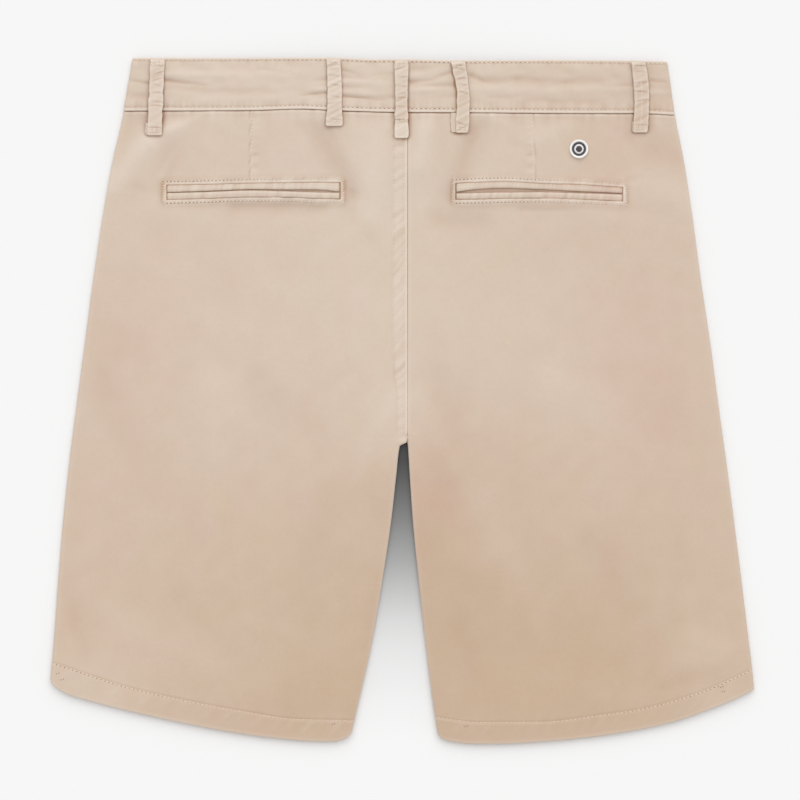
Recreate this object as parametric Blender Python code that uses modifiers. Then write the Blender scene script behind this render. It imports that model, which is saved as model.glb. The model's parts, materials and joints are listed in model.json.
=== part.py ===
"""Bermuda shorts in cotton twill, closed at the front and laid flat with the back up.

Sizes and tables are in millimetres, and meshes are made in metres. A place on the garment is
(across, down, height): across from the centre back seam, positive on the wearer's right,
down from the top of the back waistband, and height above the surface it lies on.
In the world +X runs across, +Y towards the waist and +Z up, and the front rests on z = 0.
Every cloth piece is a middle surface, a grid of points, that Solidify gives its wall.
"""
import math
from collections import namedtuple

import bmesh
import bpy
import numpy as np
from mathutils.bvhtree import BVHTree

MM = 0.001

# --- driving dimensions --------------------------------------------------------------------
CLOTH = 1.1             # wall of the panels
BAND = 1.5              # wall of the waistband, which is cloth folded double
STRAP = 1.0             # wall of the belt loops
LIP = 1.2               # wall of the pocket welts
SEAM = 0.3              # air between pieces that are sewn together
BODY_RISE = 2.85        # middle of the back panels above the middle of the front panels
HEM_RISE = 4.3          # the same where the hems are turned up inside
HEM_DEPTH = 18.0        # cloth turned up inside each leg
CROTCH_DOWN = 299.0     # top of the gap between the legs
CROTCH_ROUND = 15.0     # stretch over which the seat seam dips into the crotch
SEAT_STRIP = 10.0       # felled strip beside the seat seam
BAND_PROUD = 0.2        # how far the waistband's middle lies above the back panels' middle
FRONT_DIP = 12.0        # how far the front waist lies below the back waist
FRONT_LIFT = 2.6        # room under the front waistband for its loops and button
BACK_LIFT = 3.45        # what that and the closure add under the back waistband
BAND_LAP = 1.8          # step up of the right waistband end over the left one
FLY_LAP = 4.0           # each front's reach past the centre along the fly
FLY_LENGTH = 205.0      # down to where the fly ends
CLOSURE_LEFT = 22.0     # reach of the left waistband end past the centre front
CLOSURE_RIGHT = 30.0    # reach of the right one, which lies inside
LOOP_WIDTH = 11.8
LOOP_TURN = 8.0         # cloth turned under at each end of a loop
LOOP_ARCH = 1.2         # how high a back loop bows over the waistband
BAND_DEPTH = 43.0       # mean depth of the waistband
FOLD_RADIUS = (CLOTH + SEAM) / 2
STRAP_FOLD = (STRAP + SEAM) / 2
SIGN = {"left": -1, "right": 1}

# --- stretches over which a rise dies away -------------------------------------------------
Fade = namedtuple("Fade", "start end")
LIFT_ACROSS, LIFT_DOWN = Fade(45, 180), Fade(70, 130)           # back over the closure
FRONT_LIFT_ACROSS, FRONT_LIFT_DOWN = Fade(110, 150), Fade(76, 125)
BAND_LAP_END = Fade(CLOSURE_LEFT + 6, CLOSURE_LEFT + 30)        # across, off the waistband lap
FLY_LAP_END = Fade(FLY_LAP + 3, FLY_LAP + 20)                   # across, off the fly lap
FLY_END = Fade(FLY_LENGTH + 45, FLY_LENGTH + 80)                # down, below the fly
LAP_CHANGE = Fade(60, 95)                                       # down, waistband lap to fly lap
FLY_NARROWS = Fade(FLY_LENGTH, FLY_LENGTH + 20)                 # down, where the lap runs out
HEM_FADE = Fade(HEM_DEPTH + 4, HEM_DEPTH + 55)                  # up from the hem
FOLDS_BEGIN, FOLDS_END = Fade(44, 56), Fade(26, 60)             # below the waist, above the hem
CROTCH_DIP = Fade(CROTCH_DOWN - CROTCH_ROUND, CROTCH_DOWN)
CROTCH_NARROWS = Fade(CROTCH_DOWN - CROTCH_ROUND, CROTCH_DOWN - 4)

# --- outline -------------------------------------------------------------------------------
Edge = namedtuple("Edge", "down left right")
SIDES = (                       # half widths out to the side folds
    Edge(0, 213.8, 202.5), Edge(21, 217.4, 205.4), Edge(44, 221.3, 208.5),
    Edge(80, 229.5, 215.5), Edge(126, 237.7, 222.5), Edge(173, 244.7, 228.8),
    Edge(220, 250.9, 235.8), Edge(267, 257.2, 242.0), Edge(314, 263.2, 248.5),
    Edge(360, 268.1, 254.5), Edge(407, 272.0, 260.4), Edge(454, 275.3, 266.0),
    Edge(478, 277.5, 268.9), Edge(492, 278.7, 270.3),
)
INSEAMS = (                     # half gap between the legs, below the crotch
    Edge(299, 0.0, 0.0), Edge(302, 6.0, 0.4), Edge(325, 9.1, 1.8), Edge(360, 13.0, 4.2),
    Edge(407, 20.0, 8.8), Edge(454, 27.8, 14.0), Edge(501, 38.0, 19.7), Edge(530, 44.2, 24.2),
)
Point = namedtuple("Point", "across down")
HEMS = {                        # lower edge of each leg from its side to its inseam
    "left": (
        Point(278.1, 484.4), Point(275.1, 488.3), Point(268.9, 493.0), Point(262.0, 496.3),
        Point(247.0, 500.8), Point(200.0, 512.5), Point(138.0, 524.9), Point(107.0, 529.3),
        Point(75.0, 532.0), Point(60.0, 532.3), Point(51.5, 530.6), Point(46.8, 527.5),
        Point(44.2, 523.7),
    ),
    "right": (
        Point(270.2, 491.7), Point(252.0, 500.6), Point(236.0, 507.0), Point(205.0, 517.6),
        Point(174.0, 524.2), Point(143.0, 528.8), Point(112.0, 531.9), Point(81.0, 533.8),
        Point(65.0, 534.2), Point(49.0, 533.9), Point(35.0, 532.2), Point(28.0, 529.8),
        Point(24.2, 526.2),
    ),
}
WAIST_TOP = (
    Point(-214, 0.0), Point(-60, 0.0), Point(-28, 1.2), Point(0, 1.3), Point(40, 2.1),
    Point(110, 1.8), Point(175, 2.1), Point(203, 2.9),
)
WAIST_SEAM = (
    Point(-222, 41.2), Point(-123, 40.8), Point(-83, 39.8), Point(-50, 41.3), Point(0, 42.5),
    Point(36, 42.6), Point(130, 43.1), Point(177, 43.1), Point(209, 44.4),
)

# --- soft folds of the back: a ridge (height > 0) or trough along a line ---------------------
Fold = namedtuple("Fold", "across down to_across to_down width height")
FOLDS = (
    Fold(-230, 99, -204, 68, 9, 0.9), Fold(-204, 68, -173, 46, 9, 0.9),
    Fold(-189, 99, -183, 72, 8, -0.5), Fold(-76, 48, -43, 105, 9, -0.9),
    Fold(-134, 117, -68, 117, 6, -0.7), Fold(-25, 56, -29, 122, 12, 0.6),
    Fold(14, 48, 7, 84, 8, 0.8), Fold(57, 50, 34, 107, 9, -0.9),
    Fold(26, 127, 57, 129, 9, -0.6), Fold(100, 64, 120, 52, 9, 0.6),
    Fold(190, 72, 216, 80, 8, -0.8), Fold(182, 99, 213, 107, 12, 0.5),
    Fold(26, 251, 30, 345, 16, -0.8), Fold(-150, 259, -150, 306, 14, 0.7),
    Fold(221, 450, 250, 464, 9, 0.7),
)

# --- small pieces --------------------------------------------------------------------------
LoopRow = namedtuple("LoopRow", "name top_across top middle_across low_across low")
BACK_LOOPS = (
    LoopRow("loop_back_1", -194.4, 0.9, -195.4, -196.8, 60.5),
    LoopRow("loop_back_2", -57.3, 0.8, -56.3, -56.8, 53.4),
    LoopRow("loop_back_3", -4.3, 2.0, -4.2, -4.1, 62.8),
    LoopRow("loop_back_4", 39.4, 2.8, 44.2, 42.0, 58.6),
    LoopRow("loop_back_5", 180.1, 3.0, 182.8, 181.6, 58.2),
)
FRONT_LOOPS = (
    LoopRow("loop_front_left", -100, 9.5, -100, -100, 68.0),
    LoopRow("loop_front_right", 100, 9.5, 100, 100, 68.0),
)
PocketRow = namedtuple("PocketRow", "across top slit low")
POCKETS = {                     # the two lips of each back pocket, which meet at the slit
    "left": (
        PocketRow(-187.2, 98.9, 104.9, 110.4), PocketRow(-120.0, 97.4, 102.7, 108.4),
        PocketRow(-52.4, 97.0, 104.6, 109.8),
    ),
    "right": (
        PocketRow(38.0, 97.6, 104.9, 110.2), PocketRow(75.0, 96.2, 103.0, 109.5),
        PocketRow(120.0, 97.9, 103.7, 109.2), PocketRow(167.8, 100.7, 105.8, 111.6),
    ),
}
SLIT = 1.0                      # gap between the lips
BADGE_AT = Point(134.3, 70.7)
BUTTON_AT = Point(0.0, 34.0)
Ring = namedtuple("Ring", "radius height")
BADGE_RADIUS = 7.4
BADGE_PROFILE = (               # a domed rim round a recess with a small plain dome in it
    Ring(0, 2.2), Ring(2.2, 2.05), Ring(3.8, 1.5), Ring(4.0, 1.2), Ring(5.9, 1.2), Ring(6.1, 2.1),
    Ring(6.6, 2.4), Ring(7.1, 2.1), Ring(BADGE_RADIUS, 1.3), Ring(BADGE_RADIUS, 0.3), Ring(7.1, 0),
    Ring(0, 0),
)
BUTTON_PROFILE = (              # a raised rim round a shallow dish
    Ring(0, 1.7), Ring(5.4, 1.7), Ring(6.4, 2.2), Ring(7.6, 2.2), Ring(8.5, 1.5), Ring(8.5, 0.7),
    Ring(7.6, 0), Ring(6.4, 0), Ring(5.4, 0.5), Ring(0, 0.5),
)
BUTTON_HOLES = 4
BUTTON_HOLE_RADIUS, BUTTON_HOLE_OFF = 0.9, 2.1      # size, and distance from the middle
TURN_STEPS = 24                 # sides of a turned piece

# --- grids ---------------------------------------------------------------------------------
FOLD_SHARES = (0, 0.1, 0.42, 0.72)      # columns round a side or inseam fold, seam first
MIDDLE_STEPS = 11               # columns between those folds
HEM_STEPS = 4                   # rows round the hem's fold
TURN_ROWS = 2                   # rows up the cloth turned inside
PANEL_ROWS = {                  # down the inner edge of a panel, between waist seam and hem
    "back": (52, 64, 76, 88, 100, 112, 126, 150, 183, 213, 247, 272),
    "front": (67, 85, 105, 126, 160, 213, 247, 272),
}
LEG_ROWS = (288, 295, 299, 302, 310, 330, 370, 410, 450, 485, 508)
BAND_ROWS = 3
BAND_COLUMNS = 15
BAND_TURN = 5                   # columns round its side fold
STRAP_RUN = 8                   # rows along a loop between its turned ends
STRAP_BEND = 5                  # steps round each of its turns
LIP_ROWS, LIP_COLUMNS = 3, 12


def past(value, stretch):
    """0 before a stretch, 1 after it, and an even S curve between them."""
    share = (np.asarray(value, float) - stretch.start) / (stretch.end - stretch.start)
    share = np.clip(share, 0, 1)
    return share * share * (3 - 2 * share)


def before(value, stretch):
    """1 before a stretch and 0 after it."""
    return 1 - past(value, stretch)


def curve(places, values, at):
    """A smooth curve through the values, which never swings past them."""
    order = np.argsort(places)
    x, y = np.asarray(places, float)[order], np.asarray(values, float)[order]
    steps, slopes = np.diff(x), np.diff(y) / np.diff(x)
    product, total = slopes[:-1] * slopes[1:], slopes[:-1] + slopes[1:]
    inner = np.where(product > 0, 2 * product / np.where(total == 0, 1, total), 0)
    tangents = np.concatenate([slopes[:1], inner, slopes[-1:]])
    at = np.clip(np.asarray(at, float), x[0], x[-1])
    i = np.clip(np.searchsorted(x, at) - 1, 0, len(x) - 2)
    t = (at - x[i]) / steps[i]
    return (
        (1 + 2 * t) * (1 - t) ** 2 * y[i] + t * (1 - t) ** 2 * steps[i] * tangents[i]
        + t * t * (3 - 2 * t) * y[i + 1] + t * t * (t - 1) * steps[i] * tangents[i + 1]
    )


def edge_at(rows, side, down):
    """Half width of an outline table at a distance below the waist."""
    return curve([row.down for row in rows], [getattr(row, side) for row in rows], down)


def line_at(points, across):
    """Distance below the waist of a line that runs across."""
    return curve([p.across for p in points], [p.down for p in points], across)


def waist_half(side):
    """Half width of the waist, out to a side fold."""
    return getattr(SIDES[1], side)


def front_shift(side, across):
    """How much lower the front waist lies than the back waist."""
    return FRONT_DIP * (1 - np.clip(np.abs(across) / waist_half(side), 0, 1) ** 2)


def waist_line(points, side, layer, across):
    """The waistband's top or lower edge on the back or front layer."""
    if layer == "back":
        return line_at(points, across)
    return line_at(points, SIGN[side] * waist_half(side)) + front_shift(side, across)


# --- heights -------------------------------------------------------------------------------
def folds(across, down):
    """Sum of the soft folds at a place on the back."""
    total = np.zeros(np.broadcast(across, down).shape)
    for fold in FOLDS:
        run = np.array([fold.to_across - fold.across, fold.to_down - fold.down])
        share = ((across - fold.across) * run[0] + (down - fold.down) * run[1]) / (run @ run)
        share = np.clip(share, 0, 1)
        off = np.hypot(across - fold.across - share * run[0], down - fold.down - share * run[1])
        total = total + fold.height * np.exp(-((off / fold.width) ** 2))
    return total


def back_lift(across, down):
    """Rise of the back layer over the closure and the front loops."""
    return BACK_LIFT * before(np.abs(across), LIFT_ACROSS) * before(down, LIFT_DOWN)


def front_lift(across, down):
    """Rise of the front layer over the loops and the button that it lies on."""
    over = before(np.abs(across), FRONT_LIFT_ACROSS) * before(down, FRONT_LIFT_DOWN)
    return FRONT_LIFT * over


def band_lap(side, across):
    """Rise of the right front over the left one along the waistband's closure."""
    return BAND_LAP * before(across, BAND_LAP_END) * (side == "right")


def panel_lap(side, across, down):
    """The same on the panels, from the closure down the fly."""
    band = band_lap(side, across)
    fly = (CLOTH + SEAM) * before(across, FLY_LAP_END) * before(down, FLY_END) * (side == "right")
    return band + (fly - band) * past(down, LAP_CHANGE)


def back_height(across, down, to_hem):
    """Middle of the back panels. to_hem is the distance from there down to the hem."""
    hem = (HEM_RISE - BODY_RISE) * before(to_hem, HEM_FADE)
    soft = folds(across, down) * past(down, FOLDS_BEGIN) * past(to_hem, FOLDS_END)
    return CLOTH / 2 + BODY_RISE + hem + back_lift(across, down) + soft


def front_height(side, across, down):
    """Middle of the front panels."""
    return CLOTH / 2 + front_lift(across, down) + panel_lap(side, across, down)


def fold_radius(side, across, down, to_hem):
    """Radius of a side or inseam fold: half the back panel's rise over the front one."""
    return (back_height(across, down, to_hem) - front_height(side, across, down)) / 2


def band_back_height(across, down):
    """Middle of the waistband's back."""
    return CLOTH / 2 + BODY_RISE + BAND_PROUD + back_lift(across, down)


def band_front_height(side, across, down):
    """Middle of its front."""
    return BAND / 2 + front_lift(across, down) + band_lap(side, across)


# --- panels --------------------------------------------------------------------------------
def panel_columns():
    """Each column's share round the side fold, across the middle and to the inner edge."""
    outer = [(share, 0.0, 1.0) for share in FOLD_SHARES]
    middle = [(1.0, k / MIDDLE_STEPS, 1.0) for k in range(MIDDLE_STEPS + 1)]
    inner = [(1.0, 1.0, share) for share in reversed(FOLD_SHARES)]
    return np.array(outer + middle + inner).T


def upper_edge(side, layer, columns):
    """Distance below the waist of a panel's waist seam, in each column."""
    round_side, middle, to_inner = columns
    turn = BODY_RISE / 2
    outer = edge_at(SIDES, side, BAND_DEPTH) - CLOTH / 2
    across = (outer - turn) * (1 - middle) + SEAT_STRIP * (middle - 1 + to_inner)
    across = across + turn * np.cos(round_side * np.pi / 2)
    return waist_line(WAIST_SEAM, side, layer, SIGN[side] * across) + SEAM


def lower_edge(side, columns):
    """Distance below the waist of the row where the hem's fold begins, in each column."""
    round_side, middle, to_inner = columns
    turn = HEM_RISE / 2
    outer, inner = HEMS[side][0].across - CLOTH / 2, HEMS[side][-1].across + CLOTH / 2
    across = outer - turn + middle * (inner - outer + 2 * turn)
    across = across + turn * (np.cos(round_side * np.pi / 2) - np.cos(to_inner * np.pi / 2))
    return line_at(HEMS[side], across) - FOLD_RADIUS - CLOTH / 2


def panel_surface(side, layer, rows, columns):
    """Points of a panel's middle surface: rows run from the waist seam (0) to the hem (1).

    At a side or inseam fold the panel takes a quarter turn, and the other layer the rest.
    At the seat seam it ends in a flat strip, which becomes the inseam's fold at the crotch.
    """
    sign = SIGN[side]
    round_side, middle, to_inner = columns
    side_turn, inner_turn = round_side * np.pi / 2, to_inner * np.pi / 2
    upper, lower = upper_edge(side, layer, columns), lower_edge(side, columns)
    down = upper + np.asarray(rows)[:, None] * (lower - upper)
    to_hem = lower - down
    side_down, inner_down = down[:, :1], down[:, -1:]

    drop, narrow = past(inner_down, CROTCH_DIP), past(inner_down, CROTCH_NARROWS)
    outer = edge_at(SIDES, side, side_down) - CLOTH / 2
    inner = edge_at(INSEAMS, side, inner_down) + SEAM / 2 + drop * (CLOTH - SEAM) / 2
    if layer == "front":
        inner = inner - (FLY_LAP + SEAM / 2) * before(inner_down, FLY_NARROWS)
    side_radius = fold_radius(side, sign * outer, side_down, to_hem[:, :1])
    inner_radius = fold_radius(side, sign * inner, inner_down, to_hem[:, -1:])

    strip = SEAT_STRIP * (1 - narrow) + inner_radius * narrow
    side_line, inner_line = outer - side_radius, inner + strip
    across = side_line + middle * (inner_line - side_line) + side_radius * np.cos(side_turn)
    across = across - SEAT_STRIP * (1 - to_inner) * (1 - narrow)
    across = sign * (across - inner_radius * np.cos(inner_turn) * narrow)

    fall = (side_radius - SEAM / 2) * (1 - np.sin(side_turn))
    fall = fall + drop * (inner_radius - SEAM / 2) * (1 - np.sin(inner_turn))
    if layer == "back":
        height = back_height(across, down, to_hem) - fall
    else:
        height = front_height(side, across, down) + fall
    return np.stack([across, down, height], axis=-1)


def unit(vectors):
    return vectors / np.linalg.norm(vectors, axis=-1, keepdims=True)


def outward(side, layer, columns):
    """Unit normals across a leg, out of the garment: level at its seams, upright between."""
    round_side, _, to_inner = columns
    level = np.cos(round_side * np.pi / 2) - np.cos(to_inner * np.pi / 2)
    level = level * SIGN[side]
    upright = np.sqrt(1 - level ** 2) * (1 if layer == "back" else -1)
    return np.stack([level, 0 * level, upright], axis=-1)


def panel_grid(side, layer):
    """A whole panel with its hem folded and turned up inside."""
    columns = panel_columns()
    normal = outward(side, layer, columns)
    top = BAND_DEPTH if layer == "back" else BAND_DEPTH + FRONT_DIP
    length = HEMS[side][-1].down - top
    rows = [(down - top) / length for down in PANEL_ROWS[layer] + LEG_ROWS]
    body = panel_surface(side, layer, [0] + rows + [1], columns)

    reach = HEM_DEPTH / length
    turned = [1 - reach * k / TURN_ROWS for k in range(TURN_ROWS + 1)]
    inside = panel_surface(side, layer, turned, columns) - 2 * FOLD_RADIUS * normal

    hem = body[-1]
    along = unit(np.gradient(hem, axis=0))
    downward = np.cross(along, normal) * [1, 1, 0]
    downward = unit(downward * np.where(downward[:, 1:2] < 0, -1, 1))
    bend = []
    for k in range(1, HEM_STEPS + 1):
        angle = math.pi * k / (HEM_STEPS + 1)
        turn = normal * (math.cos(angle) - 1) + downward * math.sin(angle)
        bend.append(hem + FOLD_RADIUS * turn)
    return np.concatenate([body, np.array(bend), inside])


# --- waistband -----------------------------------------------------------------------------
def band_down(side, layer, across, share):
    """Distance below the waist of a place a share of the way down the waistband."""
    top = waist_line(WAIST_TOP, side, layer, across)
    return top + share * (waist_line(WAIST_SEAM, side, layer, across) - top)


def waistband_line(side, share):
    """One line of the waistband, from the centre back round the side to the front closure."""
    sign = SIGN[side]
    reach = CLOSURE_LEFT if side == "left" else CLOSURE_RIGHT
    half = edge_at(SIDES, side, BAND_DEPTH * share) - BAND / 2
    level = band_down(side, "back", sign * half, share)
    low = band_front_height(side, sign * half, level)
    radius = (band_back_height(sign * half, level) - low) / 2
    line = []
    for across in sign * np.linspace(SEAM / 2, half - radius, BAND_COLUMNS):
        down = band_down(side, "back", across, share)
        line.append((across, down, band_back_height(across, down)))
    for k in range(1, BAND_TURN + 1):
        angle = math.pi * (0.5 - k / (BAND_TURN + 1))
        outward_at = half - radius + radius * math.cos(angle)
        line.append((sign * outward_at, level, low + radius + radius * math.sin(angle)))
    for across in sign * np.linspace(half - radius, -reach, BAND_COLUMNS + BAND_TURN):
        down = band_down(side, "front", across, share)
        line.append((across, down, band_front_height(side, across, down)))
    return line


def waistband_grid(side):
    """One half of the waistband. The left end laps over the right one at the front."""
    lines = [waistband_line(side, row / BAND_ROWS) for row in range(BAND_ROWS + 1)]
    return np.array(lines, float)


# --- what lies on the garment --------------------------------------------------------------
def outer_face(pieces):
    """A function for the height of the finished pieces' upper face at a place."""
    bpy.context.view_layer.update()
    graph = bpy.context.evaluated_depsgraph_get()
    trees = [BVHTree.FromObject(piece, graph) for piece in pieces]

    def top(across, down):
        x, y, z = world((across, down, 100))
        hits = [tree.ray_cast((x, y, z), (0, 0, -1))[0] for tree in trees]
        return max(hit.z for hit in hits if hit) / MM

    return top


def highest(top, acrosses, downs):
    """The highest point of the face under a footprint."""
    return max(top(across, down) for across in acrosses for down in downs)


def strap_path(row, layer, top):
    """Middle line of a loop, (down, height), from one turned end to the other."""
    first, last = row.top + STRAP_FOLD + STRAP / 2, row.low - STRAP_FOLD - STRAP / 2
    seat = SEAM + STRAP / 2
    half = np.linspace(-0.5, 0.5, 5) * LOOP_WIDTH
    steps = np.linspace(-STRAP_FOLD, LOOP_TURN, 5)
    if layer == "back":
        bed_top = highest(top, row.top_across + half, first + steps) + seat
        bed_low = highest(top, row.low_across + half, last - steps) + seat
        away, arch = 1, LOOP_ARCH
    else:
        bed_top = bed_low = FRONT_LIFT - seat
        away, arch = -1, 0
    share = np.linspace(0, 1, STRAP_RUN + 1)
    rise = away * (2 * STRAP_FOLD + arch * np.sin(np.pi * share))
    run = zip(first + share * (last - first), bed_top + share * (bed_low - bed_top) + rise)
    angles = [math.pi * k / STRAP_BEND for k in range(1, STRAP_BEND)]
    path = [(first + LOOP_TURN, bed_top), (first, bed_top)]
    path += [(first - STRAP_FOLD * math.sin(a), bed_top + away * STRAP_FOLD * (1 - math.cos(a)))
             for a in angles]
    path += list(run)
    path += [(last + STRAP_FOLD * math.sin(a), bed_low + away * STRAP_FOLD * (1 + math.cos(a)))
             for a in angles]
    return path + [(last, bed_low), (last - LOOP_TURN, bed_low)]


def strap_grid(row, layer, top=None):
    """A loop: a strap over its path, which sways a little sideways."""
    middle = (row.top + row.low) / 2
    lines = []
    for down, height in strap_path(row, layer, top):
        centre = curve((row.top, middle, row.low),
                       (row.top_across, row.middle_across, row.low_across), down)
        lines.append([(centre + side * LOOP_WIDTH / 2, down, height) for side in (-1, 1)])
    return np.array(lines, float)


def lip_grid(rows, edge, top):
    """One lip of a pocket, laid on the panel's own points moved out."""
    places = [row.across for row in rows]
    lines = []
    for across in np.linspace(places[0], places[-1], LIP_COLUMNS):
        upper, slit, lower = (
            curve(places, [getattr(row, name) for row in rows], across)
            for name in ("top", "slit", "low")
        )
        ends = (upper, slit - SLIT / 2) if edge == "upper" else (slit + SLIT / 2, lower)
        downs = np.linspace(ends[0], ends[1], LIP_ROWS)
        lines.append([(across, down, top(across, down) + SEAM + LIP / 2) for down in downs])
    return np.array(lines, float)


# --- objects -------------------------------------------------------------------------------
ACROSS_SHIFT = (HEMS["left"][0].across - HEMS["right"][0].across) / 2
DOWN_SHIFT = max(p.down for p in HEMS["right"]) / 2


def world(points):
    """Garment places in millimetres to world places in metres."""
    points = np.asarray(points, float)
    return np.stack(
        [points[..., 0] + ACROSS_SHIFT, DOWN_SHIFT - points[..., 1], points[..., 2]], axis=-1
    ) * MM


def material(name, colour, roughness, metallic=0.0):
    made = bpy.data.materials.new(name)
    made.use_nodes = True
    shader = made.node_tree.nodes["Principled BSDF"]
    shader.inputs["Base Color"].default_value = (*colour, 1)
    shader.inputs["Roughness"].default_value = roughness
    shader.inputs["Metallic"].default_value = metallic
    return made


def add_object(name, mesh, finish, collection, parent):
    made = bpy.data.objects.new(name, mesh)
    made.data.materials.append(finish)
    made.parent = parent
    collection.objects.link(made)
    return made


def cloth_piece(name, grid, wall, finish, collection, parent):
    """A grid of middle points made into a wall of cloth."""
    rows, columns = grid.shape[:2]
    faces = [
        (i * columns + j, i * columns + j + 1, (i + 1) * columns + j + 1, (i + 1) * columns + j)
        for i in range(rows - 1) for j in range(columns - 1)
    ]
    mesh = bpy.data.meshes.new(name)
    mesh.from_pydata(world(grid).reshape(-1, 3).tolist(), [], faces)
    mesh.shade_smooth()
    made = add_object(name, mesh, finish, collection, parent)
    shell = made.modifiers.new("wall", "SOLIDIFY")
    shell.thickness = wall * MM
    shell.offset = 0
    return made


def turned_piece(name, profile, at, finish, collection, parent):
    """A profile, listed from top to bottom, turned about its own axis."""
    mesh = bpy.data.meshes.new(name)
    points = [(ring.radius * MM, 0, ring.height * MM) for ring in profile]
    mesh.from_pydata(points, [(i, i + 1) for i in range(len(points) - 1)], [])
    made = add_object(name, mesh, finish, collection, parent)
    made.location = world(at).tolist()
    screw = made.modifiers.new("turn", "SCREW")
    screw.steps = screw.render_steps = TURN_STEPS
    screw.use_merge_vertices = True
    screw.merge_threshold = 0.00001
    return made


def badge(top, finish, collection, parent):
    """The badge, level on the highest point of the panel under it."""
    turns = np.linspace(0, 2 * math.pi, TURN_STEPS)
    bed = max(top(BADGE_AT.across + r * math.cos(a), BADGE_AT.down + r * math.sin(a))
              for a in turns for r in (0, BADGE_RADIUS / 2, BADGE_RADIUS))
    at = (BADGE_AT.across, BADGE_AT.down, bed + SEAM)
    return turned_piece("badge", BADGE_PROFILE, at, finish, collection, parent)


def waist_button(finish, collection, cutters, parent):
    """A four-hole button, face down under the buttonhole of the left waistband."""
    at = (BUTTON_AT.across, BUTTON_AT.down, 0)
    made = turned_piece("waist_button", BUTTON_PROFILE, at, finish, collection, parent)
    for k in range(BUTTON_HOLES):
        angle = 2 * math.pi * (k + 0.5) / BUTTON_HOLES
        mesh = bpy.data.meshes.new(f"buttonhole_cutter_{k}")
        shape = bmesh.new()
        bmesh.ops.create_cone(
            shape, cap_ends=True, segments=8, depth=6 * MM,
            radius1=BUTTON_HOLE_RADIUS * MM, radius2=BUTTON_HOLE_RADIUS * MM,
        )
        shape.to_mesh(mesh)
        shape.free()
        cutter = bpy.data.objects.new(mesh.name, mesh)
        cutter.parent = parent
        off = BUTTON_HOLE_OFF * np.array([math.cos(angle), math.sin(angle), 0])
        cutter.location = world(np.array(at) + off).tolist()
        cutter.hide_render = True
        cutter.display_type = "WIRE"
        cutters.objects.link(cutter)
        cut = made.modifiers.new(f"hole_{k}", "BOOLEAN")
        cut.operation = "DIFFERENCE"
        cut.object = cutter
    return made


def main():
    for old in list(bpy.data.objects):
        bpy.data.objects.remove(old)
    pieces = bpy.data.collections.new("bermuda_shorts")
    cutters = bpy.data.collections.new("cutters")
    for collection in (pieces, cutters):
        bpy.context.scene.collection.children.link(collection)
    garment = bpy.data.objects.new("garment", None)
    pieces.objects.link(garment)

    twill = material("sand_twill", (0.66, 0.52, 0.41), 0.9)
    button = material("horn_button", (0.42, 0.32, 0.23), 0.45)
    metal = material("badge_metal", (0.82, 0.83, 0.84), 0.3, 1.0)

    covers = []
    for side in ("left", "right"):
        panels = [
            cloth_piece(f"{layer}_{side}", panel_grid(side, layer), CLOTH, twill, pieces, garment)
            for layer in ("back", "front")
        ]
        band = cloth_piece(f"waistband_{side}", waistband_grid(side), BAND, twill, pieces, garment)
        covers.extend([panels[0], band])
    top = outer_face(covers)
    for side in ("left", "right"):
        for edge in ("upper", "lower"):
            grid = lip_grid(POCKETS[side], edge, top)
            cloth_piece(f"welt_{side}_{edge}", grid, LIP, twill, pieces, garment)
    for row in BACK_LOOPS:
        cloth_piece(row.name, strap_grid(row, "back", top), STRAP, twill, pieces, garment)
    for row in FRONT_LOOPS:
        cloth_piece(row.name, strap_grid(row, "front"), STRAP, twill, pieces, garment)
    badge(top, metal, pieces, garment)
    waist_button(button, pieces, cutters, garment)


main()
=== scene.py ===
"""Bermuda shorts in sand cotton twill, laid flat with the back up: cloth, sewing and trims.

A place on the garment is (across, down, height) in millimetres: across from the centre back
seam, positive on the wearer's right, down from the top of the back waistband, and height above
the surface that the garment lies on. world() turns places into the model's frame, in metres.
Each cloth piece is a grid of middle points, rows down and columns across, with a wall round it.
"""
import json
import math
from collections import namedtuple

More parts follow.
